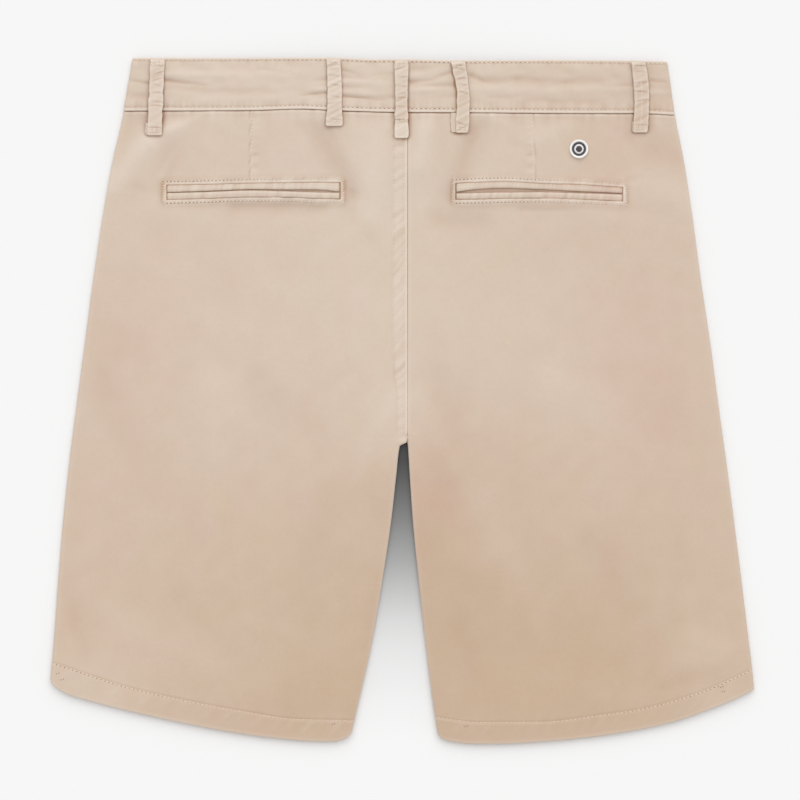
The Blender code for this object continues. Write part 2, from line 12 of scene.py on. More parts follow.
import bpy
import numpy as np
from bpy.props import FloatProperty, FloatVectorProperty, IntProperty, PointerProperty
from bpy.types import Operator, Panel, PropertyGroup
from mathutils import Vector
from mathutils.bvhtree import BVHTree
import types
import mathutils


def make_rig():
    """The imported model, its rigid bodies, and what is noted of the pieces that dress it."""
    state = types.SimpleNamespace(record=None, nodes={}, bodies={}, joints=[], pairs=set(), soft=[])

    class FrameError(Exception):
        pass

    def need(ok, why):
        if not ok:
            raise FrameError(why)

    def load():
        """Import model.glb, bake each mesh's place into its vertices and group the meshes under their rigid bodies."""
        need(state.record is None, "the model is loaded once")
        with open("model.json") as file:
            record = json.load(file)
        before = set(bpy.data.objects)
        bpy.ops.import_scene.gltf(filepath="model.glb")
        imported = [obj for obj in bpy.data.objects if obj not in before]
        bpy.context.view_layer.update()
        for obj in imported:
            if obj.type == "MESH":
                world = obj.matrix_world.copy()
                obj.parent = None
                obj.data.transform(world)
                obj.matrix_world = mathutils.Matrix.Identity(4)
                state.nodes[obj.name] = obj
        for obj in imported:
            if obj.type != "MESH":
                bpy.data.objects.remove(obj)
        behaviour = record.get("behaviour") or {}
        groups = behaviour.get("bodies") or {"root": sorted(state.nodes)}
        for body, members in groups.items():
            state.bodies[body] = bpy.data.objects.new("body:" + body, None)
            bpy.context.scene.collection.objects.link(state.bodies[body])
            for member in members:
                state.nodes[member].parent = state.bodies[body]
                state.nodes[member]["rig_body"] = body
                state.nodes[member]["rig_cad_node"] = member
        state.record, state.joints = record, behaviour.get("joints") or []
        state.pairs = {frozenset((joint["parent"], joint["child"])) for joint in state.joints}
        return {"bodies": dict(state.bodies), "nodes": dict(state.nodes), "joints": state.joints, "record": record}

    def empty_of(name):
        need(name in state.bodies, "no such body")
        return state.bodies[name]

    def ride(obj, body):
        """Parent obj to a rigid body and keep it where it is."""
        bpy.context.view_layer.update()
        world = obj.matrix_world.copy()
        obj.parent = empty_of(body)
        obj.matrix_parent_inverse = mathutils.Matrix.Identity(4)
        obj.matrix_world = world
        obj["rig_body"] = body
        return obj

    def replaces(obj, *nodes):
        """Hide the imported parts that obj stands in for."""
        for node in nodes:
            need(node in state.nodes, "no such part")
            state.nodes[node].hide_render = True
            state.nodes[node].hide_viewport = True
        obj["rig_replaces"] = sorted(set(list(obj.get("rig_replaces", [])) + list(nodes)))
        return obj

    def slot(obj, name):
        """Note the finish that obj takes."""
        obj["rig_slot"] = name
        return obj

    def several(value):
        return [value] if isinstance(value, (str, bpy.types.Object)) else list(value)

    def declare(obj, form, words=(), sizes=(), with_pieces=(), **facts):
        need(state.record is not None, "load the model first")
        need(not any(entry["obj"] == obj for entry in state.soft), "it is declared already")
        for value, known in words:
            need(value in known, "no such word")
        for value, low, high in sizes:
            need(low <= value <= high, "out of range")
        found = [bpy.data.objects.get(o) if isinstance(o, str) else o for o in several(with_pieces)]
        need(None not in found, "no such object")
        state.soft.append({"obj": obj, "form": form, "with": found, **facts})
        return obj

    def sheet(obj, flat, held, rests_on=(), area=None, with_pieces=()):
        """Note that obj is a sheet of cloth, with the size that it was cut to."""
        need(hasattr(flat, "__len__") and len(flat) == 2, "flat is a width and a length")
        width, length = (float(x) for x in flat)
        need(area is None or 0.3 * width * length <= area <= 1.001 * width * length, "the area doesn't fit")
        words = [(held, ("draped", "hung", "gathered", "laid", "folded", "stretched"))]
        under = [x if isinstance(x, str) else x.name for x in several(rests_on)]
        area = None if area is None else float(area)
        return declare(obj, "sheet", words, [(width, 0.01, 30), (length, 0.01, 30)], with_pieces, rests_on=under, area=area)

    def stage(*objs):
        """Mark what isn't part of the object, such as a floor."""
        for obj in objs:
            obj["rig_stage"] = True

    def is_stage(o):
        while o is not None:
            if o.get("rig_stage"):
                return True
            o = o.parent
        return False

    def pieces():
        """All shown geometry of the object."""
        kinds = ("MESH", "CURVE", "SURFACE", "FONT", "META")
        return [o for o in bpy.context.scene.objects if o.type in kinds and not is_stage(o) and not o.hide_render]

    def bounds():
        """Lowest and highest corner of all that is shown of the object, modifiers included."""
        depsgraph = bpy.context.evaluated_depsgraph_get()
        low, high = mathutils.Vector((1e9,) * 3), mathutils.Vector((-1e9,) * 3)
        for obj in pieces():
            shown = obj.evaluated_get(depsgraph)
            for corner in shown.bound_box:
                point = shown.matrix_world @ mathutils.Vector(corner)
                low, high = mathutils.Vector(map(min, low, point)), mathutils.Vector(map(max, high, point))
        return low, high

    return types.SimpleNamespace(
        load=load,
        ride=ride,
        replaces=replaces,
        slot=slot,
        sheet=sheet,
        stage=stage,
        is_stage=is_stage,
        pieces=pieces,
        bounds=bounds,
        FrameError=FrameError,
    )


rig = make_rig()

bl_info = {
    "name": "Flat-laid Bermuda Shorts",
    "version": (1, 0, 0),
    "blender": (4, 5, 0),
    "location": "View3D > Sidebar > Shorts",
    "description": "Makes the cloth, sewing and trims of a pair of shorts laid flat",
    "category": "Add Mesh",
}

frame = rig.load()
CAD_BOX = [[float(value) for value in corner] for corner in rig.bounds()]
BODY = next(iter(frame["bodies"]))
MM = 0.001

# --- sizes shared with the solids, in millimetres ---------------------------------------------
CLOTH = 1.1             # wall of the panels' solids
BAND = 1.5              # wall of the waistband
LIP = 1.2               # wall of the pocket welts
SEAM = 0.3              # air between pieces that are sewn together
BODY_RISE = 2.85        # middle of the back panels above the middle of the front panels
HEM_RISE = 4.3          # the same where the hems are turned up inside
HEM_DEPTH = 18.0        # cloth turned up inside each leg
CROTCH_DOWN = 299.0     # top of the gap between the legs
CROTCH_ROUND = 7.0      # stretch over which the seat seam dips into the crotch
SEAT_STRIP = 10.0       # felled strip beside the seat seam
BAND_PROUD = 0.2        # how far the waistband's middle lies above the back panels' middle
FRONT_DIP = 12.0        # how far the front waist lies below the back waist
FRONT_LIFT = 2.6        # room under the front waistband for its loops and button
BACK_LIFT = 3.45        # what that and the closure add under the back waistband
BAND_LAP = 1.8          # step up of the right waistband end over the left one
FLY_LAP = 4.0           # each front's reach past the centre along the fly
FLY_LENGTH = 205.0      # down to where the fly ends
CLOSURE_LEFT = 22.0     # reach of the left waistband end past the centre front
CLOSURE_RIGHT = 30.0    # reach of the right one, which lies inside
LOOP_WIDTH = 11.8       # of the belt loops' solids
LOOP_TURN = 8.0         # cloth turned under at each end of a loop
LOOP_ARCH = 0.3         # how high a back loop bows over the waistband
BAND_DEPTH = 43.0       # down to the waist seam at the side folds
FOLD_RADIUS = (CLOTH + SEAM) / 2
UP_THE_LEG = 400.0      # a distance to the hem at which its extra rise has run out
SIGN = {"left": -1, "right": 1}
SIDE_NAMES = ("left", "right")

# --- sizes of the visible straps, which are thinner than their solids ---------------------------
STRAP_WIDTH = 11.1      # between its rolled edges' soft outlines
STRAP_WALL = 0.75
STRAP_SEAT = 0.45       # middle of its lower layer above the cloth
STRAP_FOLD = 0.44       # radius of its folded ends
STRAP_CORNER = 2.0      # radius of the rounded corners at its lower end


def table_of(kind, *rows):
    """A short table: each row's values under the named columns of its kind."""
    return tuple(kind(*row) for row in rows)


Fade = namedtuple("Fade", "start end")
LIFT_ACROSS, LIFT_DOWN = Fade(45, 180), Fade(70, 130)           # back over the closure
FRONT_LIFT_ACROSS, FRONT_LIFT_DOWN = Fade(110, 150), Fade(76, 125)
BAND_LAP_END = Fade(CLOSURE_LEFT + 6, CLOSURE_LEFT + 30)        # across, off the waistband lap
FLY_LAP_END = Fade(FLY_LAP + 3, FLY_LAP + 20)                   # across, off the fly lap
FLY_END = Fade(FLY_LENGTH + 45, FLY_LENGTH + 80)                # down, below the fly
LAP_CHANGE = Fade(60, 95)                                       # down, waistband lap to fly lap
FLY_NARROWS = Fade(FLY_LENGTH, FLY_LENGTH + 20)                 # down, where the lap runs out
HEM_FADE = Fade(HEM_DEPTH + 4, HEM_DEPTH + 55)                  # up from the hem
FOLDS_BEGIN, FOLDS_END = Fade(44, 56), Fade(26, 60)             # below the waist, above the hem
CROTCH_DIP = Fade(CROTCH_DOWN - CROTCH_ROUND, CROTCH_DOWN)
CROTCH_NARROWS = Fade(CROTCH_DOWN - CROTCH_ROUND, CROTCH_DOWN - 4)

Edge = namedtuple("Edge", "down left right")
SIDES = table_of(               # half widths out to the side folds
    Edge, (0, 213.8, 202.5), (21, 217.4, 205.4), (44, 221.3, 208.5), (80, 229.5, 215.5),
    (126, 237.7, 222.5), (173, 244.7, 228.8), (220, 250.9, 235.8), (267, 257.2, 242.0),
    (314, 263.2, 248.5), (360, 268.1, 254.5), (407, 272.0, 260.4), (454, 275.3, 266.0),
    (478, 277.5, 268.9), (492, 278.7, 270.3),
)
INSEAMS = table_of(             # half gap between the legs, below the crotch
    Edge, (299, 0.0, 0.0), (302, 5.6, 0.4), (325, 8.4, 1.8), (360, 12.3, 4.2), (407, 19.3, 8.8),
    (454, 27.2, 14.0), (501, 37.6, 19.7), (530, 44.2, 24.2),
)
Point = namedtuple("Point", "across down")
HEMS = {                        # lower edge of each leg from its side to its inseam
    "left": table_of(
        Point, (278.1, 484.4), (275.1, 488.3), (268.9, 493.0), (262.0, 496.3), (247.0, 500.8),
        (200.0, 512.5), (138.0, 524.9), (107.0, 529.3), (75.0, 532.0), (60.0, 532.3), (51.5, 530.6),
        (46.8, 527.5), (44.2, 523.7),
    ),
    "right": table_of(
        Point, (270.2, 491.7), (252.0, 500.6), (236.0, 507.0), (205.0, 517.6), (174.0, 524.2),
        (143.0, 528.8), (112.0, 531.9), (81.0, 533.8), (65.0, 534.2), (49.0, 533.9), (35.0, 532.2),
        (28.0, 529.8), (24.2, 526.2),
    ),
}
WAIST_TOP = table_of(
    Point, (-214, 0.0), (-60, 0.0), (-28, 1.2), (0, 1.3), (40, 2.1), (110, 1.8), (175, 2.1),
    (203, 2.9),
)
WAIST_SEAM = table_of(
    Point, (-222, 41.2), (-123, 40.8), (-83, 39.8), (-50, 41.3), (0, 42.5), (36, 42.6), (130, 43.1),
    (177, 43.1), (209, 44.4),
)

Fold = namedtuple("Fold", "across down to_across to_down width height")
FOLDS = table_of(               # soft folds of the back: a ridge (height > 0) or a trough
    Fold, (-230, 99, -204, 68, 9, 0.9), (-204, 68, -173, 46, 9, 0.9), (-189, 99, -183, 72, 8, -0.5),
    (-76, 48, -43, 105, 9, -0.9), (-134, 117, -68, 117, 6, -0.7), (-25, 56, -29, 122, 12, 0.6),
    (14, 48, 7, 84, 8, 0.8), (57, 50, 34, 107, 9, -0.9), (26, 127, 57, 129, 9, -0.6),
    (100, 64, 120, 52, 9, 0.6), (190, 72, 216, 80, 10, -0.5), (182, 99, 213, 107, 12, 0.5),
    (26, 251, 30, 345, 16, -0.8), (-150, 259, -150, 306, 14, 0.7), (221, 450, 250, 464, 9, 0.7),
)

LoopRow = namedtuple(
    "LoopRow",
    "name top_across top middle_across low_across low flare slim turn peek tack shade creases"
)
# flare and slim: wider at the foot and between; turn and peek: length and shift of the turned end;
# tack: bartack above the foot; shade: pressed into the cloth on the left and on the right;
# creases: their places down the loop
BACK_LOOPS = table_of(
    LoopRow,
    ("loop_back_1", -194.4, 0.9, -195.4, -196.8, 60.5, 0.6, 0.0, 9, -1.5, 3.2, (0.25, 0.5),
     (6, 12, 17, 21, 27, 34, 37, 54)),
    ("loop_back_2", -57.3, 0.8, -56.3, -56.8, 53.4, 2.2, 0.0, 8, 0.0, 4.4, (0.45, 0.4),
     (5, 9, 14, 21, 30, 35, 47.5)),
    ("loop_back_3", -4.5, 2.0, -4.5, -4.4, 62.8, -0.3, -1.3, 8, 0.0, 13.6, (0.25, 0.5),
     (8, 15, 22, 28, 31, 38, 48.5, 50)),
    ("loop_back_4", 39.4, 2.8, 43.6, 42.6, 58.6, -0.6, -1.4, 15, -4.2, 3.2, (0.8, 0.1),
     (6, 8.5, 16, 21, 27, 51.5)),
    ("loop_back_5", 179.8, 3.0, 182.6, 181.4, 58.2, 0.5, 0.9, 8, -0.8, 3.2, (0.4, 0.35),
     (5.5, 10.5, 19, 26, 33, 52)),
)
FRONT_LOOPS = table_of(
    LoopRow,
    ("loop_front_left", -100, 9.5, -100, -100, 68.0, 0.0, 0.0, 8, 0.0, 3.2, (0, 0), (24, 50)),
    ("loop_front_right", 100, 9.5, 100, 100, 68.0, 0.0, 0.0, 8, 0.0, 3.2, (0, 0), (24, 50)),
)
PocketRow = namedtuple("PocketRow", "across top slit low gap")
POCKETS = {                     # each back pocket's window, its slit and how far that opens
    "left": table_of(
        PocketRow, (-187.2, 98.9, 104.9, 110.4, 0.7), (-158.0, 98.4, 104.0, 109.6, 0.9),
        (-120.0, 97.4, 102.7, 108.4, 1.1), (-93.0, 97.1, 103.2, 108.5, 1.6),
        (-70.0, 96.8, 103.6, 109.5, 2.3), (-52.4, 97.0, 104.6, 109.8, 1.0),
    ),
    "right": table_of(
        PocketRow, (38.0, 97.6, 104.9, 110.2, 1.2), (51.0, 96.9, 103.9, 110.1, 2.8),
        (75.0, 96.2, 103.0, 109.5, 3.6), (104.0, 97.6, 103.4, 109.2, 2.3),
        (131.0, 98.4, 104.4, 110.0, 1.6), (167.8, 100.7, 105.8, 111.6, 1.1),
    ),
}
BADGE_AT = Point(133.6, 70.9)   # its middle
BADGE_RADIUS = 7.4

# --- sewing ----------------------------------------------------------------------------------
HEM_STITCH = {                  # the hems' stitch line
    "left": table_of(
        Point, (276.0, 471.1), (212.7, 491.4), (161.2, 502.7), (130.8, 508.3), (87.9, 514.6),
        (45.8, 515.6),
    ),
    "right": table_of(
        Point, (268.9, 476.0), (234.2, 491.7), (187.4, 505.8), (150.0, 511.7), (107.1, 516.7),
        (58.7, 517.1), (21.3, 512.7),
    ),
}
TOP_STITCH = 1.8                # waistband's upper stitch line below its top edge
SEAM_STITCH = 2.8               # its lower one above the waist seam
POCKET_STITCH = 2.7             # stitch line out from the edge of a pocket's window
SEAT_ROWS = (                   # stitch rows of the felled seat seam
    table_of(Point, (-10.0, 66), (-10.2, 210), (-9.4, 245), (-7.4, 262), (-7.2, 275)),
    table_of(Point, (-3.5, 66), (-3.4, 180), (-3.0, 250), (-2.4, 290)),
)
SEAT_LAP = 0.25                 # how far the felled strip laps over the right panel
SEAT_LAP_END = (CROTCH_DOWN - 8, CROTCH_DOWN - 1)
FLY_ROWS = (38.0, 32.0)         # the fly's stitch rows beside the centre front
Dart = namedtuple("Dart", "across to_across down to_down stitch")
DARTS = {                       # seam line of each back dart, and the stitches' place beside it
    "left": Dart(-122.2, -122.6, 41.0, 94.0, 1.6), "right": Dart(98.0, 100.3, 43.5, 95.0, -1.6),
}

# --- small relief, placed by hand, on the waistband and the panels --------------------------
BAND_WRINKLES = table_of(      # each one starts at its deepest end
    Fold, (-201, 19.6, -217, 17.0, 1.5, -0.5), (-201, 30, -219, 28, 2.6, -0.14),
    (-188.6, 17.2, -152, 21.6, 1.6, -0.55), (-188.6, 12.5, -140, 13.4, 2.8, 0.3),
    (-188.6, 26, -150, 27.5, 3.0, 0.16), (-150, 12.8, -70, 14.2, 3.2, 0.24),
    (-116, 8.6, -84, 13.6, 2.0, -0.16), (-184, 24.5, -68, 26.5, 3.4, -0.18),
    (-168, 33, -96, 31.5, 3.0, 0.14), (-62.6, 27.1, -84, 29.4, 1.2, -0.62),
    (-62.6, 24.0, -78, 24.8, 1.4, 0.3), (-62.6, 16.6, -74, 17.6, 1.4, -0.2),
    (-62.6, 33.0, -76, 33.6, 1.8, 0.25), (-50.2, 9.4, -36, 13.4, 1.3, -0.34),
    (-50.2, 14.8, -32, 16.4, 1.8, -0.2), (-50.2, 22.0, -28, 23.0, 1.6, -0.22),
    (-50.2, 18.4, -13, 19.6, 2.2, 0.3), (-50.2, 29.8, -14, 33.0, 1.3, -0.62),
    (-50.2, 26.4, -24, 28.0, 1.6, 0.26), (-11.4, 30.6, -34, 30.0, 1.8, -0.3),
    (-11.4, 12.0, -30, 14.0, 2.0, -0.14), (2.6, 19.0, 24, 16.6, 1.8, -0.48),
    (36.6, 10.4, 18, 17.0, 1.9, -0.42), (2.6, 9.0, 26, 6.8, 2.0, -0.16),
    (2.6, 14.0, 26, 11.2, 2.0, 0.24), (37.5, 20.8, 3, 22.4, 1.9, -0.3),
    (2.6, 25.2, 38, 24.6, 2.2, 0.34), (38.5, 30.0, 14, 31.4, 2.0, -0.18),
    (49.6, 13.8, 63, 19.4, 2.0, -0.42), (58, 18.4, 92, 16.2, 3.4, -0.3),
    (86, 16.4, 132, 19.2, 3.4, -0.28), (124, 18.2, 176, 15.8, 3.2, -0.2),
    (50.5, 23.6, 120, 26.2, 3.2, 0.34), (112, 25.6, 176, 23.4, 3.4, 0.26),
    (92, 33.5, 150, 35.0, 3.0, -0.14), (64, 30.8, 96, 29.4, 1.6, -0.16),
    (174.6, 21, 150, 22.4, 1.8, -0.2), (189.4, 17.5, 204, 19.0, 1.6, -0.42),
    (189.4, 27, 206, 26, 2.2, 0.26),
)
CREASES = table_of(             # finer than the folds, under and beside the seams
    Fold, (-206, 47, -199, 62, 3.0, -0.4), (-180, 45, -160, 56, 4.0, -0.25),
    (-204, 68, -202, 66, 8.0, -0.6), (-190, 58, -156, 43, 3.6, 0.5),
    (-156, 66, -147, 76, 4.0, 0.15), (-192, 92, -180, 72, 3.4, 0.3), (-152, 46, -128, 62, 5.0, 0.2),
    (-112, 44, -104, 66, 4.0, -0.22), (-84, 44, -72, 58, 3.2, 0.25), (-63, 54, -54, 66, 3.0, -0.25),
    (-43, 104, -41, 112, 3.0, -0.45), (-38, 46, -14, 62, 4.5, -0.28), (1.5, 64, 9, 74, 3.0, -0.3),
    (22, 50, 36, 66, 4.0, -0.15), (48, 66, 60, 58, 3.0, -0.15), (66, 47, 88, 58, 4.5, 0.22),
    (58, 58, 50, 80, 4.0, 0.25), (70, 54, 66, 68, 3.0, -0.2), (84, 67, 95, 71, 3.6, -0.25),
    (26, 64, 30, 84, 6.0, -0.2), (112, 60, 126, 84, 6.0, 0.2), (-10, 66.5, -2, 67.5, 1.6, -0.4),
    (104, 46, 112, 60, 3.6, -0.2), (140, 47, 168, 57, 4.6, -0.22), (172, 60, 178, 74, 3.2, -0.3),
    (190, 48, 206, 60, 3.6, 0.25), (88, 118.5, 131, 118.5, 2.0, -0.3),
    (172, 96, 184, 92, 3.0, -0.35), (-212, 100, -193, 106, 4.0, -0.3),
    (-196, 116, -150, 128, 7.0, 0.25), (-50, 112, -22, 150, 7.0, -0.3),
    (140, 118, 196, 132, 8.0, 0.25), (-10, 262, -44, 330, 9.0, 0.35), (8, 262, 40, 322, 9.0, 0.3),
    (-120, 250, -60, 300, 14.0, -0.25), (110, 250, 180, 300, 16.0, 0.25),
    (-240, 250, -190, 350, 16.0, -0.25), (-60, 340, -90, 430, 15.0, -0.3),
    (60, 350, 110, 450, 16.0, 0.3), (150, 380, 190, 470, 15.0, -0.3),
    (200, 489, 250, 473, 6.0, -0.28), (-262, 430, -250, 470, 9.0, -0.4),
    (-220, 440, -150, 470, 14.0, 0.25), (40, 440, 60, 500, 11.0, -0.25),
)
FRONT_CREASES = table_of(       # similar ones on the hidden front, pressed up off the surface
    Fold, (-60, 70, -30, 150, 9, 0.3), (-180, 80, -120, 130, 10, 0.3), (50, 75, 25, 160, 9, 0.3),
    (130, 90, 190, 140, 10, 0.3), (-20, 270, -90, 330, 12, 0.35), (15, 275, 80, 340, 12, 0.35),
    (-220, 300, -160, 400, 14, 0.3), (150, 330, 200, 430, 14, 0.3),
)
Patch = namedtuple("Patch", "across down reach_across reach_down amount")
TONES = table_of(               # where the colour is deeper (amount > 0) or paler
    Patch, (-150, 20, 110, 30, -0.12), (120, 60, 120, 60, 0.12), (60, 330, 60, 90, 0.2),
    (-150, 265, 60, 60, -0.12), (130, 250, 90, 60, -0.12), (40, 430, 90, 90, 0.15),
    (-60, 440, 70, 90, 0.1), (-240, 400, 50, 90, -0.12), (-6, 285, 25, 25, -0.2),
    (235, 462, 25, 16, -0.2), (-60, 255, 30, 25, 0.08), (215, 200, 30, 90, 0.12),
    (-25, 150, 85, 170, -0.2), (-20, 100, 110, 25, -0.12), (-20, 255, 50, 35, -0.1),
    (75, 75, 40, 45, -0.12), (-215, 45, 25, 40, 0.15), (205, 25, 30, 35, 0.2),
    (170, 205, 50, 70, 0.2), (200, 280, 45, 40, 0.15), (-235, 210, 30, 40, 0.2),
    (-190, 240, 30, 40, 0.08), (14, 400, 22, 120, 0.28), (120, 480, 110, 50, 0.3),
    (190, 375, 40, 30, 0.12), (-75, 490, 40, 25, 0.3), (-250, 490, 50, 30, -0.35),
    (-180, 525, 30, 12, -0.25), (248, 500, 22, 14, -0.2), (-25, 335, 20, 25, 0.18),
    (170, 60, 45, 60, 0.15), (60, 470, 60, 60, 0.2), (120, 35, 20, 30, 0.1),
    (20, 450, 35, 90, 0.16), (110, 460, 90, 70, 0.13), (-25, 430, 30, 90, 0.12),
    (-100, 515, 110, 22, 0.16), (120, 515, 110, 16, 0.1), (100, 140, 110, 30, 0.09),
    (-190, 430, 50, 40, 0.06),
)
BLUSHES = table_of(             # where the dye is pinker (amount > 0) or yellower
    Patch, (185, 90, 50, 60, 0.25), (175, 215, 55, 60, 0.6), (190, 280, 40, 45, 0.5),
    (-215, 215, 55, 70, 0.5), (-175, 180, 30, 30, 0.3), (110, 470, 120, 60, -0.5),
    (-90, 450, 60, 70, -0.4), (14, 335, 25, 35, 0.6), (-255, 490, 35, 25, -0.3),
    (-235, 330, 40, 60, 0.2), (20, 150, 60, 60, -0.2),
)
TONE_DOWN = ((0, 0.1), (60, 0.3), (130, 0.32), (200, 0.34), (267, 0.48), (345, 0.68),
             (423, 0.82), (534, 0.86))

# --- grids of the visible cloth ---------------------------------------------------------------
Stop = namedtuple("Stop", "line offset steps")
BACK_ROWS = table_of(           # rows down a back panel, gathered where it is sewn
    Stop, ("waist", 0, 0), ("waist", 0.25, 1), ("waist", 0.7, 1), ("waist", 3.1, 4),
    ("waist", 8, 4), ("pocket_top", -12, 14), ("pocket_top", -3.6, 8), ("pocket_top", -0.6, 5),
    ("pocket_top", -0.15, 1), ("pocket_top", 0.25, 1), ("slit", 0, 5), ("pocket_low", -0.25, 5),
    ("pocket_low", 0.15, 1), ("pocket_low", 0.6, 1), ("pocket_low", 3.6, 5), ("pocket_low", 12, 7),
    ("crotch", -18, 82), ("crotch", -4, 6), ("crotch", 6, 13), ("crotch", 24, 8),
    ("hem_stitch", -14, 32), ("hem_stitch", -2.5, 8), ("hem_stitch", 2.5, 10), ("hem", -3, 10),
    ("hem", -0.6, 4), ("hem", 0, 1),
)
FRONT_ROWS = table_of(
    Stop, ("waist", 0, 0), ("waist", 0.25, 1), ("waist", 0.7, 1), ("waist", 7, 3),
    ("crotch", -18, 50), ("crotch", -4, 4), ("crotch", 6, 9), ("crotch", 24, 5),
    ("hem_stitch", -14, 30), ("hem_stitch", -2.5, 5), ("hem_stitch", 2.5, 6), ("hem", -3, 5),
    ("hem", -0.6, 2), ("hem", 0, 1),
)
SEAM_SHARES = (0, 0.05, 0.14, 0.28, 0.44, 0.6, 0.76, 0.9)               # round a side fold
STRIP_SHARES = (1, 0.94, 0.88, 0.82, 0.75, 0.68, 0.61, 0.54, 0.47, 0.4, 0.33, 0.27, 0.21,
                0.15, 0.1, 0.06, 0.03, 0)                               # over the seat strip
HEM_STEPS = 6                   # rows round the hem's fold
TURN_ROWS = 5                   # rows up the cloth turned inside
BAND_TOP_ROWS = (0, 0.25, 0.6, 1.2, 1.8, 2.4, 3.2, 4.4)                 # below the top edge
BAND_LOW_ROWS = (5.4, 4.4, 3.5, 2.8, 2.1, 1.5, 0.9, 0.5, 0.2, 0)        # above the waist seam
BAND_FIELD_ROWS = 24
BAND_BACK_COLUMNS, BAND_TURN_COLUMNS, BAND_FRONT_COLUMNS = 170, 9, 110


# --- settings ----------------------------------------------------------------------------------
def colour_of(name, description, default):
    return FloatVectorProperty(
        name=name, description=description, default=default, subtype="COLOR", min=0, max=1,
    )


def length_of(name, description, default, least, most):
    """A length setting, given in millimetres."""
    return FloatProperty(
        name=name, description=description, default=default * MM, min=least * MM, max=most * MM,
        unit="LENGTH", precision=5,
    )


class ShortsCloth(PropertyGroup):
    panel_wall: length_of("Panel Wall", "Thickness of a panel's cloth", 0.9, 0.3, 1.1)
    relief: FloatProperty(
        name="Relief", description="Strength of the small creases and puckers",
        default=1.0, min=0, max=1.5, subtype="FACTOR",
    )
    weave_pitch: length_of("Weave Pitch", "Distance between two twill lines", 0.62, 0.3, 2)
    pale: colour_of("Pale", "Cloth where it is palest", (0.69, 0.573, 0.475))
    deep: colour_of("Deep", "Cloth where it is deepest", (0.566, 0.417, 0.306))
    worn: colour_of("Worn", "Cloth on a fully worn ridge", (0.8, 0.71, 0.62))
    seam_shade: colour_of("Seam Shade", "Tint in the depth of a seam", (0.62, 0.45, 0.35))


class ShortsSewing(PropertyGroup):
    waist_pitch: length_of("Waist Stitch", "Stitch length along the waistband", 3.5, 1.5, 6)
    seam_pitch: length_of(
        "Seam Stitch", "Stitch length at the pockets, darts, seat and fly", 2.9, 1.5, 6
    )
    hem_pitch: length_of("Hem Stitch", "Stitch length along the hems", 3.3, 1.5, 6)
    bar_pitch: length_of("Bartack Pitch", "Distance between two threads of a bartack", 0.8, 0.4, 2)
    thread: length_of("Thread", "Thickness of the thread", 0.62, 0.2, 1)
    hole: length_of("Needle Hole Size", "Width of the dimple at a needle hole", 0.92, 0.3, 1.5)
    colour: colour_of("Thread Colour", "Colour of the thread", (0.86, 0.755, 0.65))
    hole_colour: colour_of("Needle Hole", "Shade in the needle holes", (0.25, 0.165, 0.115))
    seed: IntProperty(name="Seed", description="Seed of the thread's unevenness", default=7)


class ShortsTrims(PropertyGroup):
    metal: colour_of("Badge Rim", "Lacquered metal of the badge's rim", (0.93, 0.93, 0.92))
    enamel: colour_of("Badge Enamel", "Dark dome and recess of the badge", (0.04, 0.03, 0.034))
    ring: colour_of("Badge Ring", "Pale ring round the badge's dome", (0.82, 0.81, 0.8))
    horn: colour_of("Button", "Horn-effect button", (0.42, 0.32, 0.23))


class ShortsStage(PropertyGroup):
    floor: colour_of("Floor", "Pale floor", (0.893, 0.893, 0.893))
    sky: FloatProperty(
        name="Sky", description="Strength of the even light", default=0.66, min=0, max=5,
    )
    key: FloatProperty(
        name="Key", description="Strength of the soft light from above the waist",
        default=1.47, min=0, max=20,
    )
    picture_width: FloatProperty(
        name="Picture Width", description="Width of the view on the garment",
        default=0.62245, min=0.1, max=5, unit="LENGTH",
    )
    lens: FloatProperty(
        name="Lens", description="Focal length in millimetres", default=200, min=20, max=400,
    )


# --- small tools --------------------------------------------------------------------------------
def past(value, span):
    """0 before a span, 1 after it, and an even S curve between them."""
    share = (np.asarray(value, float) - span[0]) / (span[1] - span[0])
    share = np.clip(share, 0, 1)
    return share * share * (3 - 2 * share)


def before(value, span):
    """1 before a span and 0 after it."""
    return 1 - past(value, span)


def bump(value, width):
    """1 at 0, dying away over a width on both sides."""
    return np.exp(-((np.asarray(value, float) / width) ** 2))


def curve(places, values, at):
    """A smooth curve through the values, which never swings past them."""
    order = np.argsort(places)
    x, y = np.asarray(places, float)[order], np.asarray(values, float)[order]
    steps, slopes = np.diff(x), np.diff(y) / np.diff(x)
    product, total = slopes[:-1] * slopes[1:], slopes[:-1] + slopes[1:]
    inner = np.where(product > 0, 2 * product / np.where(total == 0, 1, total), 0)
    tangents = np.concatenate([slopes[:1], inner, slopes[-1:]])
    at = np.clip(np.asarray(at, float), x[0], x[-1])
    i = np.clip(np.searchsorted(x, at) - 1, 0, len(x) - 2)
    t = (at - x[i]) / steps[i]
    return (
        (1 + 2 * t) * (1 - t) ** 2 * y[i] + t * (1 - t) ** 2 * steps[i] * tangents[i]
        + t * t * (3 - 2 * t) * y[i + 1] + t * t * (t - 1) * steps[i] * tangents[i + 1]
    )


def edge_at(rows, side, down):
    """Half width of an outline table at a distance below the waist."""
    return curve([row.down for row in rows], [getattr(row, side) for row in rows], down)


def line_at(points, across):
    """Distance below the waist of a line that runs across."""
    return curve([p.across for p in points], [p.down for p in points], across)


def across_at(points, down):
    """Distance across of a line that runs down."""
    return curve([p.down for p in points], [p.across for p in points], down)


def pocket_at(side, name, across):
    """A value of a pocket's table at a distance across."""
    rows = POCKETS[side]
    return curve([row.across for row in rows], [getattr(row, name) for row in rows], across)


